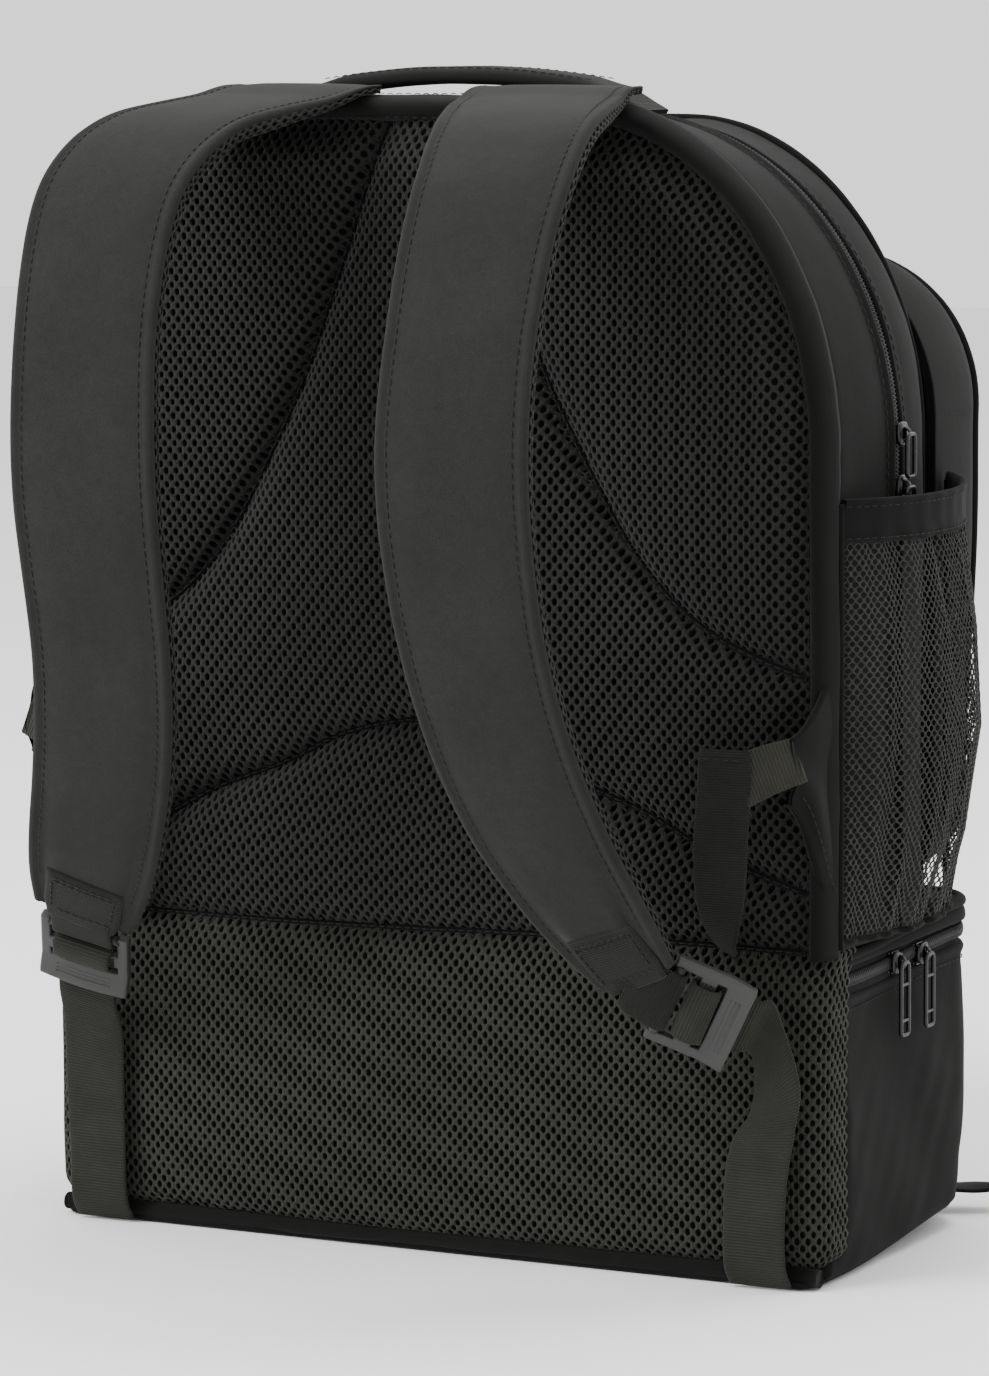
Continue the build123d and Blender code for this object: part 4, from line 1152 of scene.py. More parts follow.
def shoe_line(grow, z, rise=1.0, step=2.0):
    """Open line round the shoe compartment, from the right rear corner over the front to the left."""
    q, m = shoe_plan(grow)
    q, m = q[side_sel], m[side_sel]
    P = np.stack([q[:, 0], q[:, 1], z + rise * shoe_rise(q[:, 1])], 1)
    N = np.stack([m[:, 0], m[:, 1], 0 * m[:, 0]], 1)
    d = np.concatenate([[0], np.cumsum(np.linalg.norm(np.diff(P, axis=0), axis=1))])
    t = np.linspace(0, d[-1], int(590 / step))
    return (np.stack([np.interp(t, d, P[:, i]) for i in range(3)], 1),
            unit(np.stack([np.interp(t, d, N[:, i]) for i in range(3)], 1)))


tape_sections = [(-0.8, 105.2), (0.55, 106.0), (0.65, 109), (0.65, 112), (0.65, 115), (0.55, 117.6), (-0.8, 118.6)]
V = np.stack([shoe_line(g, z, 0.82)[0] for g, z in tape_sections], 0)
m_ = min(len(v_) for v_ in V)
make_piece("shoe_zip_tape_cloth", V.reshape(-1, 3), [grid_faces(*V.shape[:2])[:, ::-1]], "tape", node="shoe_zip_tape", slot="zip_tape",
           uv=lengths_uv(V)[:, ::-1])


def zip_coil(name, path, up, node, slot="zip_coil", pitch=1.5, half=2.3, body="bag"):
    """Spiral turns from both sides that interlock on the zip's centre line."""
    d = np.concatenate([[0], np.cumsum(np.linalg.norm(np.diff(path, axis=0), axis=1))])
    t_ = np.arange(0, d[-1], pitch / 2)
    up = np.broadcast_to(np.asarray(up, float), path.shape)
    path, up = (np.stack([np.interp(t_, d, q[:, i]) for i in range(3)], 1) for q in (path, up))
    t, side, upv = frames(path, up)
    tooth = np.array([(-1, 0.0), (-0.92, 0.75), (-0.5, 1.1), (0.0, 1.2), (0.34, 0.95), (0.4, 0.3)])
    a = np.linspace(0, 2 * np.pi, 5, endpoint=False)
    parts = []
    for i in range(len(path)):
        sgn = 1 if i % 2 else -1
        q = path[i] + side[i] * (tooth[:, 0:1] * half * sgn) + upv[i] * tooth[:, 1:2]
        tt = tangents(q)
        nn = np.broadcast_to(t[i], q.shape)
        bb = np.cross(tt, nn)
        Vt = q[:, None] + nn[:, None] * (0.36 * np.cos(a))[None, :, None] + bb[:, None] * (0.36 * np.sin(a))[None, :, None]
        parts.append((Vt.reshape(-1, 3), [grid_faces(6, 5, False, True)], None))
    for s in (-1, 1):
        parts.append(sweep(path + side * (s * 1.5) + upv * 0.35, circle(0.45, 6), upv))
    v, f, uv = join(parts)
    return make_piece(name, v, f, "coil", node=node, slot=slot, body=body)


zp, zn = shoe_line(0.9, 112.0, 0.82, 1.0)
zip_coil("shoe_zip_teeth", zp, zn, "shoe_zip_coil")

pz = resample(outline(-0.3, 278.0, n_side=60, n_arc=70, n_top=40, fall=top_drop(53.0)), step=1.0)
nz = outward2(pz)
zip_coil("main_zip_teeth", lift3(pz, 53.0), np.stack([nz[:, 0], 0 * nz[:, 0], nz[:, 1]], 1), "main_zip_coil")

pp, pn = shoe_line(1.4, 121.2, 1.35, 2.0)
v, f, uv = sweep(pp, circle(2.0, 12), pn, scale=1 + 0.06 * ripple(pp, 9, 2))
make_piece("shoe_edge_piping", v, f, "roll", node="shoe_piping", slot="binding", uv=uv)

# base: coated cloth over a board, with its lower binding
p, n = shoe_plan(-2.0, y0=-8.0)
rows = [(-30, 0.2), (-8, 0.15), (-2.0, 0.1), (0.0, 0.6), (0.4, 1.6), (-0.4, 2.5), (-4, 2.7)]
loops = []
for g, z in rows:
    q, _ = shoe_plan(-2.0 + g, y0=-8.0 - min(g, 0) * 0.2)
    loops.append(np.stack([q[:, 0], q[:, 1], z + foot_rise(q[:, 1])], 1))
V = np.stack(loops, 0)
c = V.shape[1]
make_piece("base_cloth", V.reshape(-1, 3), [grid_faces(*V.shape[:2], False, True)[:, ::-1], np.arange(c)[None, :], np.arange((V.shape[0] - 1) * c, V.shape[0] * c)[None, ::-1]],
           "base", node="base_panel", slot="base_fabric", uv=V.reshape(-1, 3)[:, :2])

# folded tab that sticks out under the front corner of the base
ctrl_a = catmull([(118, 138), (134, 135), (152, 143), (166, 151), (172.5, 156.5)], 8)
ctrl_b = catmull([(116, 143), (128, 150), (146, 157), (160, 161.5), (172.5, 159.5)], 8)
na = len(ctrl_a)
rows = []
for k in np.linspace(0, 1, 9):
    q = ctrl_a * (1 - k) + ctrl_b * k
    s = np.linspace(0, 1, na)
    z = 1.3 + 0.9 * math.sin(k * math.pi) + 2.2 * s ** 3 + 0.3 * np.sin(s * 18 + k * 3) + foot_rise(q[:, 1]) * (1 - 0.25 * s)
    rows.append(np.stack([q[:, 0], q[:, 1], z], 1))
top_ = np.stack(rows, 0)
bot_ = top_ - np.array([0, 0, 1.1])
V = np.concatenate([top_, bot_[::-1]], 0)
make_piece("base_tab_cloth", V.reshape(-1, 3), [grid_faces(V.shape[0], V.shape[1], True, False)], "base", node="base_tab", slot="base_fabric",
           uv=V.reshape(-1, 3)[:, :2])

# ---------------------------------------------------------------------------
# front pocket
# ---------------------------------------------------------------------------


def pocket_outline(inset, n_c=18):
    """Closed outline (x, z) of the front pocket, wound to the right from the bottom left."""
    w, z0, z1 = 157.0 - inset, 132.0 + inset, 378.0 - inset
    r1, r0 = max(66.0 - inset, 8.0), max(26.0 - inset, 6.0)
    pts = []
    for cx, cz, r, a0 in ((w - r1, z1 - r1, r1, 0), (-w + r1, z1 - r1, r1, 90), (-w + r0, z0 + r0, r0, 180), (w - r0, z0 + r0, r0, 270)):
        for t in np.radians(np.linspace(a0, a0 + 90, n_c)):
            pts.append((cx + r * math.cos(t), cz + r * math.sin(t)))
    p = resample(np.array(pts), n=260, closed=True)
    t = np.roll(p, -1, 0) - np.roll(p, 1, 0)
    t /= np.linalg.norm(t, axis=1, keepdims=True)
    return p, np.stack([t[:, 1], -t[:, 0]], 1)


prof = [(-4, 98.0), (0, 99.5), (0.6, 103), (0.8, 110), (1.2, 122), (2.2, 136), (4.0, 148), (6.2, 156), (8.4, 160.5), (9.8, 162.2), (12, 163.8), (17, 166.2), (25, 168.8),
        (36, 171.2), (50, 173.0), (66, 174.3)]
loops = []
for i, (inset, y) in enumerate(prof):
    q, m = pocket_outline(inset)
    y = y if y < 100 else 100.0 + (y - 100.0) * 1.066
    P = lift3(q, y)
    # the lower part hangs shallower and softer than the zipped top
    low = smoothstep(-P[:, 2], -300.0, -140.0)
    P[:, 1] -= (y - 100.0) / 80.0 * 17.0 * low if y > 101 else 0
    k = 1.5 * ripple(P, 44.0, 12) + 0.5 * ripple(P, 15.0, 14)
    damp = 0.0 if i < 2 else 1.0
    zip_near = np.exp(-(((P[:, 2] - 318) / 12.0) ** 2))
    P[:, 1] += damp * k * (0.7 if y > 150 else 0.15) * (1 - 0.8 * zip_near)
    P[:, 0] += damp * m[:, 0] * k * (0.15 if y > 150 else 0.6)
    P[:, 2] += damp * m[:, 1] * k * (0.15 if y > 150 else 0.6)
    P[:, 1] = np.minimum(P[:, 1], 180.9)
    loops.append(P)
# the middle of the face closes in rings that shrink towards its centre
core = loops[-1]
hub = core.mean(0) + np.array([0, 0.6, 0])
for shrink_ in (0.82, 0.64, 0.46, 0.30, 0.15, 0.03):
    q = hub + (core - hub) * shrink_
    q[:, 1] = np.minimum(hub[1] + (core[:, 1] - hub[1]) * shrink_ ** 2.5, 180.9)
    loops.append(q)
V = np.stack(loops, 0)
c = V.shape[1]
make_piece("front_pocket_cloth", V.reshape(-1, 3), [grid_faces(*V.shape[:2], False, True), np.arange((V.shape[0] - 1) * c, V.shape[0] * c)[None, :]],
           "shell", node="front_pocket_shell", slot="shell_fabric", uv=lengths_uv(V)[:, ::-1], padded=0.45)
# piping round the pocket's face
P = V[9] + np.array([0, 0.6, 0])
q, m = pocket_outline(9.8)
N = np.stack([m[:, 0], 0.6 + 0 * m[:, 0], m[:, 1]], 1)
v, f, uv = sweep(P + N * 0.8, circle(1.8, 10), N, closed=True)
make_piece("front_pocket_piping", v, f, "roll", slot="binding", uv=uv)
# seam where the pocket meets the body
q, m = pocket_outline(-2.0)
v, f, uv = sweep(lift3(q, 100.6), circle(1.6, 8), np.stack([m[:, 0], 0 * m[:, 0], m[:, 1]], 1), closed=True)
make_piece("front_pocket_seam", v, f, "shell", slot="shell_fabric", uv=uv)

# zip across the top of the pocket, set between two folded welts
half_zip = 118.0
xs = np.linspace(-half_zip, half_zip, 160)
sag = -1.2 * (1 - (xs / half_zip) ** 2) + 0.4 * ripple(np.stack([xs, 0 * xs, 0 * xs], 1), 30, 3)
line = lambda dz, y: np.stack([xs, np.full_like(xs, y), 318.0 + dz + sag * 0.5], 1)
V = np.stack([line(dz, y) for dz, y in ((-6, 180.6), (-5, 181.7), (-2, 181.9), (0, 181.9), (2, 181.9), (5, 181.7), (6, 180.6))], 0)
make_piece("front_zip_tape_cloth", V.reshape(-1, 3), [grid_faces(*V.shape[:2])], "tape", node="front_pocket_zip_tape", slot="zip_tape", uv=lengths_uv(V)[:, ::-1])
zip_coil("front_zip_teeth", line(0, 182.1), (0, 1, 0), "front_pocket_zip_coil")
for s, nm in ((1, "upper"), (-1, "lower")):
    P = line(s * 8.0, 180.4)
    prof_w = np.array([(3.2 * math.cos(t), 1.9 * math.sin(t)) for t in np.linspace(0, 2 * math.pi, 14, endpoint=False)])
    v, f, uv = sweep(P, prof_w, (0, 1, 0), scale=1 + 0.05 * ripple(P, 12, 4))
    make_piece("front_zip_welt_" + nm, v, f, "shell", slot="shell_fabric", uv=uv)
    v, f, uv = stitches(line(s * 9.4, 181.9), (0, 1, 0), r=0.26)
    make_piece("front_zip_stitch_" + nm, v, f, "thread", slot="shell_fabric")

# ---------------------------------------------------------------------------
# side nets, hems
# ---------------------------------------------------------------------------
NET_Z = np.array([126.0, 127.0, 160.0, 200.0, 235.0, 273.0, 289.0])
NET_B = np.array([7.0, 8.0, 19.0, 26.0, 24.0, 16.4, 16.2])
NET_X0, NET_X1, NET_PEAK = 164.6, 157.5, 0.56


def net_arc(z, u, extra=0.0, s=1):
    """Point of the side wall: u from 0 at the back seam to 1 at the front seam."""
    z = np.asarray(z, float)
    bulge = np.interp(z, NET_Z, NET_B)
    y = 4.0 + 113.0 * u
    base = NET_X0 + (NET_X1 - NET_X0) * u
    peak = (164.0 + bulge) - (NET_X0 + (NET_X1 - NET_X0) * NET_PEAK)
    shape = np.clip(1 - np.abs((u - NET_PEAK) / np.where(u < NET_PEAK, NET_PEAK, 1 - NET_PEAK)) ** 2.1, 0, 1) ** 0.92
    x = base + peak * shape
    # gathers: upright pleats, strongest at the hem and the foot
    hem_k = np.exp(-((289 - z) / 34.0)) + 0.9 * np.exp(-((z - 127) / 26.0)) + 0.35
    ph = u * 2 * np.pi
    pl = (np.sin(ph * 9.0 + 1.2 * np.sin(z / 23.0)) * 0.5 + np.sin(ph * 4.3 + 0.8 + z / 60.0) * 0.75 + np.sin(ph * 15.0 + z / 35.0) * 0.25)
    edge = np.clip(np.minimum(u, 1 - u) * 9.0, 0, 1)
    x = x + pl * 1.25 * hem_k * edge * (z < 274) + 0 * y
    fold = 2.6 * np.exp(-(((u - 0.17 - (z - 150) * 0.0006) / 0.05) ** 2)) * smoothstep(-z, -250, -170) * edge
    x = x - fold
    return np.stack([s * (x + extra), y + 0 * x, z + 0 * x], -1)


def net_map(s, extra=0.0):
    arc = 132.0

    def fmap(u, z):
        u = np.clip(u / arc, 0, 1)
        P = net_arc(z, u, extra, s)
        e = 0.004
        Pu = net_arc(z, np.clip(u + e, 0, 1), extra, s) - net_arc(z, np.clip(u - e, 0, 1), extra, s)
        Pz = net_arc(z + 0.5, u, extra, s) - net_arc(z - 0.5, u, extra, s)
        N = unit(np.cross(Pu, Pz)) * s
        return P, N
    return fmap


for s, word in ((1, "right"), (-1, "left")):
    C = lattice(1.0, 131.0, 127.5, 274.5, a=3.1, b=3.9, turn=0.0)
    V, F, ids = hexcells(C[:, 0], C[:, 1], net_map(s), a=3.1, b=3.9, hole=(1.03, 1.30), lip=0.15, floor=False)
    F = [q if s > 0 else q[:, ::-1] for q in F]
    o = make_piece("side_net_mesh_" + word, V, F, "net", node="side_net_" + word, slot="net")
    mod = o.modifiers.new("thick", "SOLIDIFY")
    mod.thickness = 0.45 * MM
    mod.offset = 0
    # hem: a folded band that stands a little proud of the net
    us = np.linspace(0, 1, 70)
    sec = [(272.6, 0.3), (272.8, 1.3), (275.5, 1.7), (279.5, 1.6), (283.5, 1.7), (286.2, 2.0), (287.8, 2.5), (288.6, 2.2), (288.9, 1.2), (288.4, 0.1), (286, -0.3), (276, -0.4), (272.8, -0.4)]
    rows = []
    for z, e in sec:
        P = net_arc(np.full_like(us, z), us, e + 0.15 * np.sin(us * 60), s)
        P[:, 2] += 1.1 * np.sin(us * np.pi) * -1 + 1.3 * us
        rows.append(P)
    V = np.stack(rows, 0)
    F = grid_faces(len(rows), len(us), True, False)
    make_piece("pocket_hem_band_" + word, V.reshape(-1, 3), [F if s < 0 else F[:, ::-1]], "hem", node="pocket_hem_" + word, slot="binding", uv=lengths_uv(V)[:, ::-1])
    for nm, z in (("low", 274.4), ("high", 286.0)):
        P = net_arc(np.full_like(us, z), us, 1.75, s)
        P[:, 2] += -1.1 * np.sin(us * np.pi) + 1.3 * us
        v, f, uv = stitches(P, (s, 0, 0), r=0.24)
        make_piece("hem_stitch_" + nm + "_" + word, v, f, "thread", slot="binding")
    # seam strips that hold the net's front and rear edges and its foot
    zs = np.linspace(124.5, 287, 60)
    for nm, u in (("rear", 0.0), ("front", 1.0)):
        P = net_arc(zs, np.full_like(zs, u), 0.4, s)
        v, f, uv = sweep(P, circle(1.25, 8), (s, 0, 0), scale=1 + 0.08 * ripple(P, 10, 3))
        make_piece("net_seam_" + nm + "_" + word, v, f, "shell", slot="binding", uv=uv)
    P = net_arc(np.full_like(us, 126.6), us, 0.4, s)
    v, f, uv = sweep(P, circle(1.3, 8), (0, 0, 1))
    make_piece("net_foot_" + word, v, f, "shell", slot="binding", uv=uv)

# ---------------------------------------------------------------------------
# side wings and webbing loops
# ---------------------------------------------------------------------------


def band(path, across, width, thick, segs=10, wave=0.0, edge=True):
    """Woven band: path (n,3), across (n,3) direction of its width; closed around its edges. uv = (across, along)."""
    across = unit(np.broadcast_to(np.asarray(across, float), path.shape))
    t = tangents(path)
    nrm = unit(np.cross(t, across))
    prof = band_profile(1.0, thick / max(np.max(width), 1e-6) if False else 1.0, 4)
    w = np.broadcast_to(np.asarray(width, float), (len(path),))
    r = thick / 2
    pts = []
    ks = []
    for a in np.linspace(-np.pi / 2, np.pi / 2, 4):
        pts.append((1, -r + r * math.cos(a), r * math.sin(a)))
    for k in np.linspace(1, -1, segs)[1:-1]:
        pts.append((k, 0, r))
    for a in np.linspace(np.pi / 2, 1.5 * np.pi, 4):
        pts.append((-1, r + r * math.cos(a), r * math.sin(a)))
    for k in np.linspace(-1, 1, segs)[1:-1]:
        pts.append((k, 0, -r))
    pts = np.array(pts)
    lat = pts[None, :, 0] * w[:, None] / 2 + pts[None, :, 1]
    up = np.broadcast_to(pts[None, :, 2], lat.shape)
    run = np.concatenate([[0], np.cumsum(np.linalg.norm(np.diff(path, axis=0), axis=1))])
    if wave:
        up = up + wave * np.sin(run[:, None] / 7.0 + lat / 6.0)
    V = path[:, None] + across[:, None] * lat[..., None] + nrm[:, None] * up[..., None]
    n, m = lat.shape
    F = grid_faces(n, m, False, True)
    uv = np.stack([lat.ravel(), np.repeat(run, m)], 1)
    return V.reshape(-1, 3), [F, np.arange(m)[None, ::-1], (np.arange(m) + (n - 1) * m)[None, :]], uv


for s, word in ((1, "right"), (-1, "left")):
    # wing: a triangle of cloth folded at its free edge, hollow behind
    top = catmull([(163.6, -1.0, 226.0), (163.4, -7.0, 221.0), (163.0, -14.0, 214.5), (161.6, -21.5, 208.0), (160.0, -26.5, 205.0)], 6)
    low = catmull([(163.6, -1.0, 143.0), (163.4, -7.0, 149.5), (163.0, -13.0, 161.5), (161.6, -20.0, 175.0), (160.0, -26.5, 182.5)], 6)
    n = len(top)
    rows = []
    for k in np.linspace(0, 1, 22):
        q = top * (1 - k) + low * k
        q = q.copy()
        bow = 2.4 * math.sin(math.pi * k) * np.linspace(0.2, 1, n) + 0.6 * np.sin(k * 9 + np.linspace(0, 3, n))
        q[:, 0] += bow
        rows.append(q)
    # the lower edge rolls under
    for j, (dy, dz, dx) in enumerate([(0.5, -1.4, -0.6), (1.4, -1.6, -2.0), (2.6, -0.6, -2.8), (3.6, 1.2, -2.6)]):
        rows.append(low + np.array([dx, dy, dz]))
    front = np.stack(rows, 0)
    back = front - np.array([1.5, 0, 0])
    V = np.concatenate([front, back[::-1]], 0)
    V[..., 0] *= s
    F = grid_faces(V.shape[0], V.shape[1], True, False)
    F = F if s > 0 else F[:, ::-1]
    make_piece("side_wing_cloth_" + word, V.reshape(-1, 3), [F], "shell", node="side_wing_" + word, slot="shell_fabric",
               uv=np.concatenate([lengths_uv(front)[:, ::-1], lengths_uv(front)[:, ::-1]]), padded=0.2)
    # stitching down the folded edge
    P = low + np.array([1.6, 1.8, 3.0])
    P[:, 0] *= s
    v, f, uv = stitches(P, (s, -0.4, 0), r=0.26)
    make_piece("wing_stitch_" + word, v, f, "thread", slot="shell_fabric")
    # loop: leaves the wing's tip, turns at a folded corner and runs down to the pad's seam
    pts = catmull([(162.0, -25.0, 197.5), (152.0, -27.2, 194.0), (142.0, -28.4, 189.5), (133.5, -28.0, 185.0)], 8)
    pts[:, 0] *= s
    v1, f1, u1 = band(pts, np.stack([-0.42 * s + 0 * pts[:, 0], 0.02 + 0 * pts[:, 0], 1 + 0 * pts[:, 0]], 1), np.linspace(17.0, 20.5, len(pts)), 1.7, wave=0.25)
    make_piece("side_loop_top_" + word, v1, f1, "loop", node="side_loop_" + word, slot="webbing", uv=u1)
    pts = catmull([(134.5, -29.0, 200.0), (134.6, -30.4, 195.0), (134.2, -29.8, 184.0), (132.8, -29.4, 169.0), (131.6, -27.6, 153.0), (129.4, -22.6, 138.5), (127.4, -15.5, 128.0), (127.0, -9.6, 122.8)], 8)
    pts[:, 0] *= s
    aw = unit(np.stack([np.full(len(pts), s * 1.0), 0.18 * np.sin(np.linspace(0, 2.2, len(pts))), 0 * pts[:, 0]], 1))
    k_ = np.linspace(0, 1, len(pts))
    aw = unit(np.stack([s * (1 - 0.30 * smoothstep(k_, 0.45, 1.0)), 0.18 * np.sin(2.2 * k_) - 0.75 * smoothstep(k_, 0.5, 1.0), 0 * k_], 1))
    v2, f2, u2 = band(pts, aw, 20.0 + 0.6 * np.sin(5 * k_) - 5.5 * smoothstep(k_, 0.55, 1.0), 1.7, wave=0.25)
    make_piece("side_loop_leg_" + word, v2, f2, "patch", slot="webbing", uv=u2)
    v, f, uv = stitches(np.stack([s * np.linspace(126.0, 143.5, 12), np.full(12, -31.3), 196.6 + 0 * np.linspace(0, 1, 12)], 1), (0, -1, 0), r=0.3)
    make_piece("side_loop_stitch_" + word, v, f, "thread", slot="webbing")

# ---------------------------------------------------------------------------
# top: yoke band, grab handle
# ---------------------------------------------------------------------------
xs = np.linspace(-57, 57, 70)
rows = []
for y, z in ((6.6, 430.6), (6.8, 432.5), (8.5, 433.0), (13, 432.4), (17.5, 431.4), (19.3, 430.8), (19.5, 428.6)):
    rows.append(np.stack([xs, y + 0 * xs, z + 0.15 * np.sin(xs / 5 + y)], 1))
V = np.stack(rows, 0)
make_piece("strap_yoke_band", V.reshape(-1, 3), [grid_faces(*V.shape[:2])[:, ::-1]], "shell", node="strap_yoke", slot="binding", uv=lengths_uv(V)[:, ::-1])
for nm, y, z in (("rear", 8.6, 433.1), ("front", 17.2, 431.6)):
    v, f, uv = stitches(np.stack([xs, y + 0 * xs, z + 0 * xs], 1), (0, 0, 1), r=0.26)
    make_piece("yoke_stitch_" + nm, v, f, "thread", slot="binding")

hx = np.array([-64.5, -55, -40, -21, 0, 21, 40, 55, 64.5])
hz = np.array([434.0, 435.4, 437.4, 439.1, 439.6, 439.0, 437.2, 435.2, 434.0])
hp = catmull(np.stack([hx, 33.0 + 0 * hx + 0.5 * np.sin(hx / 20), hz], 1), 8)
hs = np.abs(hp[:, 0]) / 64.5
hw = 23.4 - 1.2 * hs
prof_h = []
for t in np.linspace(0, 2 * np.pi, 28, endpoint=False):
    c_, s_ = math.cos(t), math.sin(t)
    prof_h.append((math.copysign(abs(c_) ** 0.55, c_) * 11.8, math.copysign(abs(s_) ** 0.8, s_) * (3.7 if s_ > 0 else 3.2)))
sc = np.stack([hw / 23.4, 1.0 - 0.55 * smoothstep(hs, 0.72, 1.0)], 1)
sc[:, 1] *= 1 + 0.03 * ripple(hp, 12, 4)
v, f, uv = sweep(hp, prof_h, (0, 0, 1), scale=sc)
make_piece("grab_handle_padded", v, f, "handle", body="handle", node="grab_handle", slot="strap_fabric", uv=uv, padded=0.6)
for s_, nm in ((1, "front"), (-1, "rear")):
    P = hp[6:-6] + np.array([0, s_ * 9.3, 3.05])
    v, f, uv = stitches(P, (0, 0.3 * s_, 1), r=0.26)
    make_piece("handle_stitch_" + nm, v, f, "thread", body="handle", slot="strap_fabric")
v1 = []
for s_ in (1, -1):
    P = catmull([(s_ * 63.5, 33, 433.6), (s_ * 67, 33, 432.0), (s_ * 71.5, 33, 429.4), (s_ * 77, 33, 426.4)], 6)
    v1.append(band(P, (0, 1, 0), 21.0, 1.9))
v, f, uv = join(v1)
make_piece("handle_end_bands", v, f, "patch", node="handle_ends", slot="webbing", uv=uv)

# ---------------------------------------------------------------------------
# shoulder straps
# ---------------------------------------------------------------------------
STRAP_TOP = [(53.0, -4.5, 436.9, 64.0, 4.0), (53.5, 4.0, 436.9, 64.0, 4.0), (54.5, 11.0, 436.2, 64.0, 4.8), (56.5, 20.0, 434.0, 64.0, 6.0),
             (60.0, 33.0, 432.4, 64.0, 7.5), (64.5, 48.0, 430.2, 63.0, 9.0), (69.5, 64.0, 427.0, 62.5, 9.0), (73.0, 79.0, 421.2, 62.0, 9.0),
             (75.5, 91.0, 413.5, 61.5, 9.0), (77.0, 103.0, 402.0, 61.0, 9.0), (77.0, 114.0, 382.0, 60.0, 9.0), (76.0, 124.0, 350.0, 59.0, 9.0),
             (75.0, 128.5, 318.0, 60.0, 9.0), (75.0, 127.5, 290.0, 60.0, 9.0), (75.5, 121.5, 260.0, 59.0, 9.0), (77.5, 113.0, 230.0, 58.0, 9.0)]
STRAP_END = {"right": [(82.5, 103.0, 200.0, 57.0, 9.0), (90.0, 91.0, 172.0, 55.0, 9.0), (98.0, 78.5, 150.0, 51.0, 9.0), (106.0, 67.5, 132.0, 45.0, 8.0), (113.0, 59.0, 119.0, 37.0, 7.0)],
             "left": [(82.5, 104.0, 203.0, 57.0, 9.0), (91.5, 92.5, 177.0, 55.0, 9.0), (103.0, 79.0, 154.0, 52.0, 9.0), (113.5, 66.0, 137.0, 47.0, 8.0), (121.0, 56.0, 125.0, 40.0, 7.0)]}


class Strap:
    def __init__(self, side, word):
        st = np.array(STRAP_TOP + STRAP_END[word])
        raw = np.stack([side * st[:, 0], -st[:, 1], st[:, 2], st[:, 3], st[:, 4]], 1)
        fine = catmull(raw, 14)
        d = np.concatenate([[0], np.cumsum(np.linalg.norm(np.diff(fine[:, :3], axis=0), axis=1))])
        self.len = d[-1]
        self.n = int(self.len / 2.0)
        v = np.linspace(0, self.len, self.n)
        self.v = v
        q = np.stack([np.interp(v, d, fine[:, i]) for i in range(5)], 1)
        k = np.ones(9) / 9
        for i in range(3):  # softens the joints between stations
            pad_ = np.concatenate([2 * q[0, i] - q[4:0:-1, i], q[:, i], 2 * q[-1, i] - q[-2:-6:-1, i]])
            q[:, i] = np.convolve(pad_, k, "valid")
        self.p, self.w, self.t = q[:, :3], q[:, 3], q[:, 4]
        t = tangents(self.p)
        self.tan = t
        self.across = unit(np.array([1.0, 0, 0]) - t * t[:, :1])
        self.out = -np.cross(self.across, t)
        self.side = side

    def at(self, v, arr):
        if arr.ndim == 1:
            return np.interp(v, self.v, arr)
        return np.stack([np.interp(v, self.v, arr[:, i]) for i in range(arr.shape[1])], -1)


def lining_curve(half, T):
    """Half profile of the lining by arc length from the middle: (s, o) and normals."""
    pts = [(0, -T - 1.1), (half * 0.35, -T - 0.95), (half * 0.7, -T - 0.4), (half - 4.5, -T + 0.6)]
    for a in np.radians(np.linspace(-78, 80, 8)):
        pts.append((half - 3.0 + 3.6 * math.cos(a), -T + 4.0 + 3.4 * math.sin(a)))
    return resample(np.array(pts), n=60)


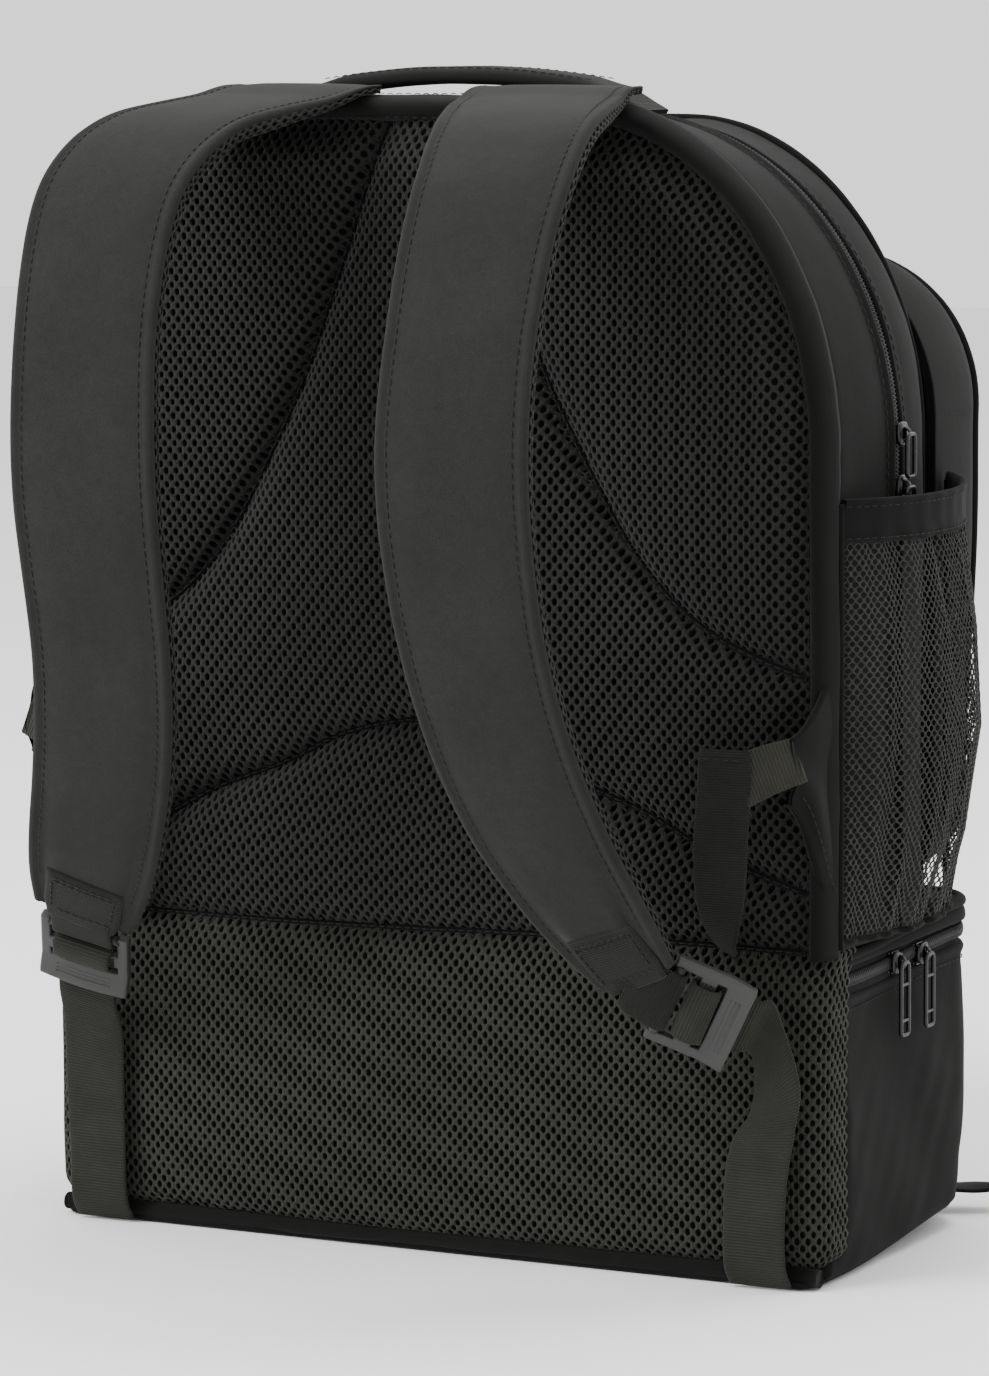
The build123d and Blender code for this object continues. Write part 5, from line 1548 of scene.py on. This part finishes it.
for s, word in ((1, "right"), (-1, "left")):
    S = Strap(s, word)
    body = "strap_" + word
    # cover: crowned cloth with a bound edge roll
    prof_rows = []
    fr = [(-1.0, -90), (-1.0, -150), (-1.0, 180), (-1.0, 140), (-1.0, 100), (-1.0, 70)]
    V = []
    for i in range(S.n):
        half, T = S.w[i] / 2, S.t[i]
        r = min(2.3, T * 0.3)
        pts = []
        for a in np.radians([-100, -140, 180, 140, 105, 75, 50]):
            pts.append((-half + r + r * math.cos(a), -r - 0.5 + r * math.sin(a)))
        for k in (half - 5.2, half - 6.4, half - 9, half * 0.62, half * 0.4, half * 0.2):
            dip = {half - 5.2: -1.0, half - 6.4: -0.8, half - 9: -0.45}.get(k, None)
            pts.append((-k, dip if dip is not None else 0.25 - 0.8 * (k / half) ** 2))
        pts.append((0, 0.25))
        mir = [(-a_, b_) for a_, b_ in pts[:-1][::-1]]
        pts = np.array(pts + mir)
        # closes underneath
        u = pts[:, 0] / half
        pts[:, 1] *= min(1.0, T / 8.0)
        V.append(S.p[i] + S.across[i] * pts[:, :1] + S.out[i] * pts[:, 1:])
    V = np.array(V)
    n_, m_ = V.shape[:2]
    wr = 0.32 * ripple(V, 42.0, 3 if s > 0 else 8) + 0.10 * ripple(V, 13.0, 6)
    V = V + S.out[:, None] * wr[..., None]
    # underside
    under = np.stack([V[:, 0] * (1 - k) + V[:, -1] * k - S.out * (0.45 * S.t[:, None]) * (4 * k * (1 - k)) ** 0.3 for k in np.linspace(1, 0, 8)[1:-1]], 1)
    W = np.concatenate([V, under], 1)
    n_, m_ = W.shape[:2]
    F = grid_faces(n_, m_, False, True)
    latv = np.concatenate([np.array([np.linspace(-1, 1, V.shape[1])]).repeat(n_, 0) * (S.w[:, None] / 2), np.linspace(1, -1, 8)[None, 1:-1] * S.w[:, None] / 2], 1)
    uv = np.stack([latv.ravel(), np.repeat(S.v, m_)], 1)
    make_piece("strap_cover_cloth_" + word, W.reshape(-1, 3), [F, np.arange(m_)[None, ::-1], (np.arange(m_) + (n_ - 1) * m_)[None, :]], "strap", body=body,
               node="strap_cover_" + word, slot="strap_fabric", uv=uv, padded=0.6)
    # stitches in the groove beside the roll
    for e in (-1, 1):
        P = S.p + S.across * (e * (S.w[:, None] / 2 - 5.3)) + S.out * -0.82
        v, f, uv = stitches(P[4:-8], S.out[4:-8], length=2.4, gap=1.2, r=0.26)
        make_piece("strap_edge_stitch_" + ("outer" if e * s > 0 else "inner") + "_" + word, v, f, "thread", body=body, slot="strap_fabric")
    # lining: air mesh that wraps round the foam to the roll
    half_ref, T_ref = 29.5, 9.0
    ref = lining_curve(half_ref, T_ref)
    arc = np.concatenate([[0], np.cumsum(np.linalg.norm(np.diff(ref, axis=0), axis=1))])
    tn = tangents(ref)
    nr = np.stack([tn[:, 1], -tn[:, 0]], 1)

    def lining_map(u, v, S=S, ref=ref, arc=arc, nr=nr):
        sg = np.where(u < 0, -1.0, 1.0)
        w_, t_ = S.at(v, S.w), S.at(v, S.t)
        so = np.interp(np.abs(u), arc, ref[:, 0])
        oo = np.interp(np.abs(u), arc, ref[:, 1])
        ns, no = np.interp(np.abs(u), arc, nr[:, 0]), np.interp(np.abs(u), arc, nr[:, 1])
        so = np.where(so > 12, so + (w_ / 2 - 29.5) * smoothstep(so, 8.0, 24.0), so)
        oo = oo * (t_ / 9.0)
        p_, a_, o_ = S.at(v, S.p), unit(S.at(v, S.across)), unit(S.at(v, S.out))
        P = p_ + a_ * (sg * so)[:, None] + o_ * oo[:, None]
        N = unit(a_ * (sg * ns)[:, None] + o_ * no[:, None])
        return P, N

    U = arc[-1] - 1.0
    C = lattice(-U, U, 2.0, S.len - 3.0, a=4.2, b=4.9)
    narrow = 29.5 - S.at(C[:, 1], S.w) / 2
    Vh, Fh, ids = hexcells(C[:, 0], C[:, 1], lining_map, a=4.2, b=4.9, hole=(0.95, 1.5), depth=1.3)
    Fh = [q[:, ::-1] for q in Fh]
    # second material: painted shade inside the lining's holes
    o = make_piece("strap_lining_mesh_" + word, Vh, Fh, ["air", "air_deep"], body=body, node="strap_lining_" + word, slot="air_mesh", mat_ids=ids, padded=0.6)
    S_ = S
    globals()["S_" + word] = S

# ---------------------------------------------------------------------------
# lower strap ends: patch, webbing loop, ladder lock, adjuster webbing
# ---------------------------------------------------------------------------
LOCK = {
    "right": dict(p=(120.6, -48.271, 111.515), a=(0.4808, -0.138, 0.8659), o=(0.3023, -0.9009, -0.3114), l=(0.8231, 0.4115, -0.3915)),
    "left": dict(p=(-124.662, -47.145, 118.9), a=(0.943, 0.1979, -0.2677), o=(0, -0.8041, -0.5945), l=(-0.3329, 0.5606, -0.7582)),
}


def lock_mesh(c, word):
    """Ladder lock: two rails, round top bar, ribbed middle bar and a flared lower lip, all in one moulding."""
    p, a, o_, l = (np.array(c[k], float) for k in ("p", "a", "o", "l"))
    us = np.array([-18.0, -16.6, -13.9, -12.6, -7, 0, 7, 12.6, 13.9, 16.6, 18.0])
    vs = np.array([-2.6, -1.2, 1.6, 2.6, 8.0, 9.2, 13.0, 14.2, 17.8, 19.0, 25.6, 28.2])
    nu, nv = len(us) - 1, len(vs) - 1
    on = np.ones((nu, nv), bool)
    for i in range(nu):
        inside = us[i] >= -13.95 and us[i + 1] <= 13.95
        for j in range(nv):
            zc = (vs[j] + vs[j + 1]) / 2
            if inside and (zc < 8.0 or 14.2 < zc < 17.8):
                on[i, j] = False
    bm = bmesh.new()

    def height(u, v):
        bow = 1.2 * (1 - (u / 18.0) ** 2) * (1 if v > 6 else 0.2)
        flare = 2.6 * smoothstep(v, 19.0, 28.2)
        return bow + flare - 0.6

    tv, bv = {}, {}

    def vert(d, i, j, off):
        if (i, j) not in d:
            u, v = us[i], vs[j]
            h = height(u, v) + off
            q = (p + a * u + l * v + o_ * h) * MM
            d[(i, j)] = bm.verts.new(q)
        return d[(i, j)]

    th = 2.0
    for i in range(nu):
        for j in range(nv):
            if not on[i, j]:
                continue
            c4 = [(i, j), (i + 1, j), (i + 1, j + 1), (i, j + 1)]
            bm.faces.new([vert(tv, *q, th) for q in c4])
            bm.faces.new([vert(bv, *q, -th + 0.2) for q in c4][::-1])
            for (x0, y0), (x1, y1), (di, dj) in (((i, j), (i + 1, j), (0, -1)), ((i + 1, j), (i + 1, j + 1), (1, 0)), ((i + 1, j + 1), (i, j + 1), (0, 1)), ((i, j + 1), (i, j), (-1, 0))):
                ni, nj = i + di, j + dj
                if 0 <= ni < nu and 0 <= nj < nv and on[ni, nj]:
                    continue
                bm.faces.new([vert(tv, x1, y1, th), vert(tv, x0, y0, th), vert(bv, x0, y0, -th + 0.2), vert(bv, x1, y1, -th + 0.2)])
    bmesh.ops.recalc_face_normals(bm, faces=bm.faces)
    me = bpy.data.meshes.new("ladder_lock_moulding_" + word)
    bm.to_mesh(me)
    bm.free()
    ob = bpy.data.objects.new("ladder_lock_moulding_" + word, me)
    bpy.context.scene.collection.objects.link(ob)
    me.materials.append(M["lock"])
    for q in me.polygons:
        q.use_smooth = True
    bev = ob.modifiers.new("edge", "BEVEL")
    bev.width = 0.75 * MM
    bev.segments = 3
    bev.limit_method = "ANGLE"
    bev.angle_limit = math.radians(40)
    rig.ride(ob, "lock_" + word)
    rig.replaces(ob, "ladder_lock_" + word)
    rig.slot(ob, "lock_plastic")
    # round bar and ribs
    bits = []
    bar = np.stack([p + a * u for u in np.linspace(-14.6, 14.6, 16)], 0)
    bits.append(sweep(bar, circle(1.95, 14), o_))
    for v in (9.2, 10.6, 12.0, 13.3):
        us2 = np.linspace(-12.6, 12.6, 18)
        q = np.stack([p + a * u + l * v + o_ * (height(u, v) + 1.95) for u in us2], 0)
        bits.append(sweep(q, circle(0.5, 8), o_))
    for v in (21.0, 22.6, 24.2):
        us2 = np.linspace(-11.0, 11.0, 18)
        q = np.stack([p + a * u + l * v + o_ * (height(u, v) + 2.0) for u in us2], 0)
        bits.append(sweep(q, circle(0.42, 8), o_))
    v_, f_, _ = join(bits)
    make_piece("ladder_lock_bars_" + word, v_, f_, "lock", body="lock_" + word, slot="lock_plastic")
    return height


for s, word in ((1, "right"), (-1, "left")):
    c = LOCK[word]
    p, a, o_, l = (np.array(c[k], float) for k in ("p", "a", "o", "l"))
    S = globals()["S_" + word]
    height = lock_mesh(c, word)
    # patch over the strap's end, its lower corners cut
    i0 = S.n - 1
    pe, ae, oe, te = S.p[-1], S.across[-1], S.out[-1], S.tan[-1]
    nu, nv = 26, 20
    us = np.linspace(-1, 1, nu)
    vs = np.linspace(-23.5, 2.5, nv)
    top_rows = []
    for v in vs:
        w = 15.6 - 1.6 * smoothstep(v, -6, 2.5)
        idx = np.clip((S.len + min(v, 0)) / S.len * (S.n - 1), 0, S.n - 1)
        vv = S.len + min(v, 0.0)
        P0, A0, O0, T0 = (S.at(np.array([vv]), q)[0] for q in (S.p, S.across, S.out, S.tan))
        P0 = P0 + T0 * max(v, 0.0)
        h = 1.5 - 0.6 * us ** 2 - 1.0 * smoothstep(np.abs(us), 0.93, 1.0) - 0.8 * smoothstep(-v, 21.5, 23.5)
        top_rows.append(P0 + A0 * (us * w)[:, None] + O0 * h[:, None])
    T = np.stack(top_rows, 0)
    B = T - oe * 1.3
    W = np.concatenate([T, B[::-1]], 0)
    u2, v2 = np.meshgrid(us * 15.6, vs)
    uvp = np.stack([u2.ravel(), v2.ravel()], 1)
    make_piece("strap_end_cloth_" + word, W.reshape(-1, 3), [grid_faces(W.shape[0], nu, True, False)[:, ::-1]], "patch", body="strap_" + word,
               node="strap_end_patch_" + word, slot="webbing", uv=np.concatenate([uvp, uvp[::-1]]))
    # boxed stitching on the patch
    bits = []

    def on_patch(u, v):
        vv = np.clip(S.len + np.minimum(v, 0), 0, S.len)
        P0, A0, O0, T0 = (S.at(np.asarray(vv, float), q) for q in (S.p, S.across, S.out, S.tan))
        return P0 + A0 * np.asarray(u)[:, None] + O0 * (1.55 - 0.6 * (np.asarray(u) / 15.6) ** 2)[:, None], O0

    k = np.linspace(0, 1, 14)
    for (u0, v0), (u1, v1_) in (((-12.8, -21), (12.8, -21)), ((12.8, -21), (12.0, -3)), ((12.0, -3), (-12.0, -3)), ((-12.0, -3), (-12.8, -21)),
                                ((-12.4, -19), (12.4, -19))):
        P, N = on_patch(u0 + (u1 - u0) * k, v0 + (v1_ - v0) * k)
        bits.append(stitches(P, N, length=2.3, gap=0.8, r=0.34))
    v_, f_, _ = join(bits)
    make_piece("strap_end_stitch_" + word, v_, f_, "thread", body="strap_" + word, slot="webbing")
    # webbing loop from the strap's end round the lock's top bar
    e0 = pe - te * 6 + oe * 1.2
    pts = [pe - te * 3 + oe * 0.4, pe + te * 2.0 + oe * 0.6]
    ring = [p + (l * math.cos(t) + o_ * math.sin(t)) * 3.1 for t in np.radians([105, 60, 20, -20, -60, -105])]
    pts = np.array(pts + ring + [pe + te * 1.5 - oe * 3.2, pe - te * 4 - oe * 3.0])
    v_, f_, uv = band(catmull(pts, 6), a, 24.6, 1.4)
    make_piece("lock_loop_webbing_" + word, v_, f_, "patch", body="strap_" + word, node="lock_webbing_" + word, slot="webbing", uv=uv)
    # adjuster webbing: up from the bottom seam, round the lock's middle bar, short tail behind
    X = s * 139.0
    mid = lambda v, h, u=0.0: p + l * v + o_ * (h + height(0, v)) + a * u
    lo = p + l * 33
    if s > 0:
        ctrl = [(X + 1.0, -11.2, 1.2), (X + 0.6, -15.6, 10.0), (X + 0.8, -16.4, 26), (X + 2.2, -17.2, 44), (X + 7.0, -20.0, 60), (X + 12.5, -24.0, 74),
                tuple(mid(37, -8.0)), tuple(mid(30, -5.6)), tuple(mid(25, -4.4)), tuple(mid(18.5, -4.0)), tuple(mid(14.8, -3.4)), tuple(mid(9.5, -3.5)), tuple(mid(6.5, -1.6)),
                tuple(mid(6.3, 1.6)), tuple(mid(8.6, 3.8)), tuple(mid(13.0, 3.9)), tuple(mid(16.1, 1.6)), tuple(mid(17.0, -1.6)), tuple(mid(20, -6.6)), tuple(mid(25, -7.4)), tuple(mid(29, -8.5))]
    else:
        ctrl = [(X, -11.2, 1.2), (X, -15.6, 10.0), (X, -16.6, 30), (X, -17.5, 55), (X * 0.995, -19.5, 76), tuple(lo * 0.6 + np.array([X, -22.0, lo[2] - 8]) * 0.4),
                tuple(mid(25, -4.4)), tuple(mid(18.5, -4.0)), tuple(mid(14.8, -3.4)), tuple(mid(9.5, -3.5)), tuple(mid(6.5, -1.6)), tuple(mid(6.3, 1.6)), tuple(mid(8.6, 3.8)),
                tuple(mid(13.0, 3.9)), tuple(mid(16.1, 1.6)), tuple(mid(17.0, -1.6)), tuple(mid(20, -6.6)), tuple(mid(27, -8.0)), tuple(mid(36, -9.5))]
    path = catmull(np.array(ctrl), 9)
    nP = len(path)
    run = np.concatenate([[0], np.cumsum(np.linalg.norm(np.diff(path, axis=0), axis=1))])
    z_lock = lo[2]
    kk = smoothstep(path[:, 2], 30.0 if s < 0 else 46.0, z_lock)[:, None]
    ac = unit(np.array([1.0, 0, 0]) * (1 - kk) + a * kk)
    v_, f_, uv = band(path, ac, 24.8 - 1.6 * smoothstep(path[:, 2], z_lock - 20, z_lock), 1.5, wave=0.22)
    o = make_piece("adjuster_webbing_" + word + "_run", v_, f_, "webbing", body=None, slot="webbing", uv=uv)
    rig.blend(o, "bag", "strap_" + word, (X * MM, -0.015, 0.012), tuple((lo * MM).tolist()))
    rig.replaces(o, "adjuster_webbing_" + word)

# ---------------------------------------------------------------------------
# zip sliders and wire pulls
# ---------------------------------------------------------------------------


def superloop(n, e=4.0, a=1.0, b=1.0):
    t = np.linspace(0, 2 * np.pi, n, endpoint=False)
    c_, s_ = np.cos(t), np.sin(t)
    return np.stack([a * np.sign(c_) * np.abs(c_) ** (2 / e), b * np.sign(s_) * np.abs(s_) ** (2 / e)], 1)


def slider_mesh(name, origin, nrm, lengthwise, body, node, hinge):
    """origin: the coil's foot; nrm outwards; lengthwise: zip direction; hinge: the pull's axis."""
    origin, nrm, lw, hinge = (np.asarray(q, float) for q in (origin, nrm, lengthwise, hinge))
    cr = np.cross(nrm, lw)
    bits = []
    sections = [(2.7, 0.80), (2.95, 0.97), (3.4, 1.0), (3.9, 0.97), (4.3, 0.82), (4.45, 0.5)]
    lo_ = superloop(36, 3.2, 4.6, 4.1)
    taper = 1 - 0.16 * (lo_[:, 0] / 4.6)
    rows = []
    for h, k in sections:
        q = lo_ * k
        rows.append(origin + nrm * h + lw * q[:, :1] + cr * (q[:, 1] * taper)[:, None])
    V = np.stack(rows, 0)
    c = V.shape[1]
    bits.append((V.reshape(-1, 3), [grid_faces(len(rows), c, False, True)[:, ::-1], np.arange(c)[None, :], (np.arange(c) + (len(rows) - 1) * c)[None, ::-1]], None))
    for e in (-1, 1):
        P = np.stack([origin + lw * x + cr * (e * 3.6) + nrm * 1.9 for x in np.linspace(-3.4, 3.4, 8)], 0)
        bits.append(sweep(P, circle(0.75, 8), nrm))
    # bridge that holds the pull
    ax = np.cross(hinge, nrm)
    ring = np.stack([origin + nrm * (4.1 + 2.5 * math.sin(t)) + ax * (2.5 * math.cos(t)) for t in np.radians(np.linspace(-12, 192, 16))], 0)
    bits.append(sweep(ring, np.array([(1.05 * math.cos(t), 0.55 * math.sin(t)) for t in np.linspace(0, 2 * math.pi, 10, endpoint=False)]), nrm + 0 * ring + 1e-3 * ax))
    v, f, _ = join(bits)
    o = make_piece(name, v, f, "metal", body=body, node=node, slot="zip_metal")
    return o


def pull_mesh(name, pivot, hinge, down, length, body, node, bar=True):
    """Wire loop: long rounded rectangle with a cross bar near its free end."""
    pivot, hinge, down = (np.asarray(q, float) for q in (pivot, hinge, down))
    nrm = np.cross(hinge, down)
    w = 3.4
    pts = []
    L_ = length
    r = 1.7
    corners = [(w, 0.0), (w * 1.02, L_), (-w * 1.02, L_), (-w, 0.0)]
    for i, (cx, cy) in enumerate(corners):
        px, py = corners[i - 1]
        nx_, ny_ = corners[(i + 1) % 4]
        d0 = unit(np.array([px - cx, py - cy]))
        d1 = unit(np.array([nx_ - cx, ny_ - cy]))
        for k in np.linspace(0, 1, 7):
            q = (1 - k) ** 2 * (np.array([cx, cy]) + d0 * r) + 2 * k * (1 - k) * np.array([cx, cy]) + k ** 2 * (np.array([cx, cy]) + d1 * r)
            pts.append(q)
    pts = resample(np.array(pts), step=0.9, closed=True)
    P = pivot + hinge * pts[:, :1] + down * pts[:, 1:]
    bits = [sweep(P, circle(0.85, 10), nrm, closed=True)]
    if bar:
        for k in (0.80, 0.30):
            q = np.stack([pivot + hinge * x + down * (L_ * k) for x in np.linspace(-w, w, 6)], 0)
            bits.append(sweep(q, circle(0.75, 8), nrm))
    v, f, _ = join(bits)
    return make_piece(name, v, f, "metal", body=body, node=node, slot="zip_metal")


DOWN = (0, 0, -1)
for nm, org, nrm, lw, hinge, piv, length, bar in (
        ("main_zip_slider_upper", (164.0, 53, 309), (1, 0, 0), (0, 0, -1), (0, 1, 0), (170.9, 53, 309), 15.5, False),
        ("main_zip_slider_lower", (164.0, 53, 289.5), (1, 0, 0), (0, 0, 1), (0, 1, 0), (170.9, 53, 289.5), 11.0, False),
        ("shoe_zip_slider_rear", (161.0, 57, 112), (1, 0, 0), (0, 1, 0), (0, 1, 0), (167.4, 57, 112), 27.0, True),
        ("shoe_zip_slider_front", (161.0, 80, 112), (1, 0, 0), (0, -1, 0), (0, 1, 0), (167.4, 80, 112), 27.0, True),
        ("front_pocket_slider", (-95, 181, 318), (0, 1, 0), (-1, 0, 0), (1, 0, 0), (-95, 187.4, 318), 27.0, True)):
    slider_mesh(nm + "_cast", org, nrm, lw, nm + "_body", nm, hinge)
    pl_ = nm.replace("slider", "pull")
    pull_mesh(pl_ + "_wire", piv, hinge, DOWN, length, pl_ + "_body", pl_, bar)

# ---------------------------------------------------------------------------
# inside: stiffening sheet behind the pads stays hidden behind cloth
# ---------------------------------------------------------------------------
p = outline(5.5, 14.0, bottom=60)
rows = []
for ins, y in ((6.5, 0.3), (5.6, 0.6), (5.5, 1.2), (5.9, 1.7)):
    q = outline(ins, 14.0 + (ins - 5.5), bottom=60)
    rows.append(lift3(q, y))
V = np.stack(rows, 0)
c = V.shape[1]
make_piece("frame_sheet_board", V.reshape(-1, 3), [grid_faces(*V.shape[:2], False, True), np.arange(c)[None, ::-1], (np.arange(c) + (V.shape[0] - 1) * c)[None, :]], "stiff",
           node="frame_sheet", slot="stiffener")

# ---------------------------------------------------------------------------
# floor
# ---------------------------------------------------------------------------
floor_m = Nodes("pale_floor")
floor_m.b.inputs["Base Color"].default_value = (0.86, 0.86, 0.86, 1)
floor_m.b.inputs["Roughness"].default_value = 0.9
fme = bpy.data.meshes.new("floor")
nf = 40
g = np.linspace(-6, 6, nf)
gx, gy = np.meshgrid(g, g, indexing="ij")
fme.from_pydata([(float(x), float(y), -0.0006) for x, y in zip(gx.ravel(), gy.ravel())], [], grid_faces(nf, nf).tolist())
fme.materials.append(floor_m.mat)
fo = bpy.data.objects.new("floor", fme)
bpy.context.scene.collection.objects.link(fo)
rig.stage(fo)

low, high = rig.bounds()
json.dump({"cad": [list(cad_low), list(cad_high)], "visual": [list(low), list(high)]}, open("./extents.json", "w"))
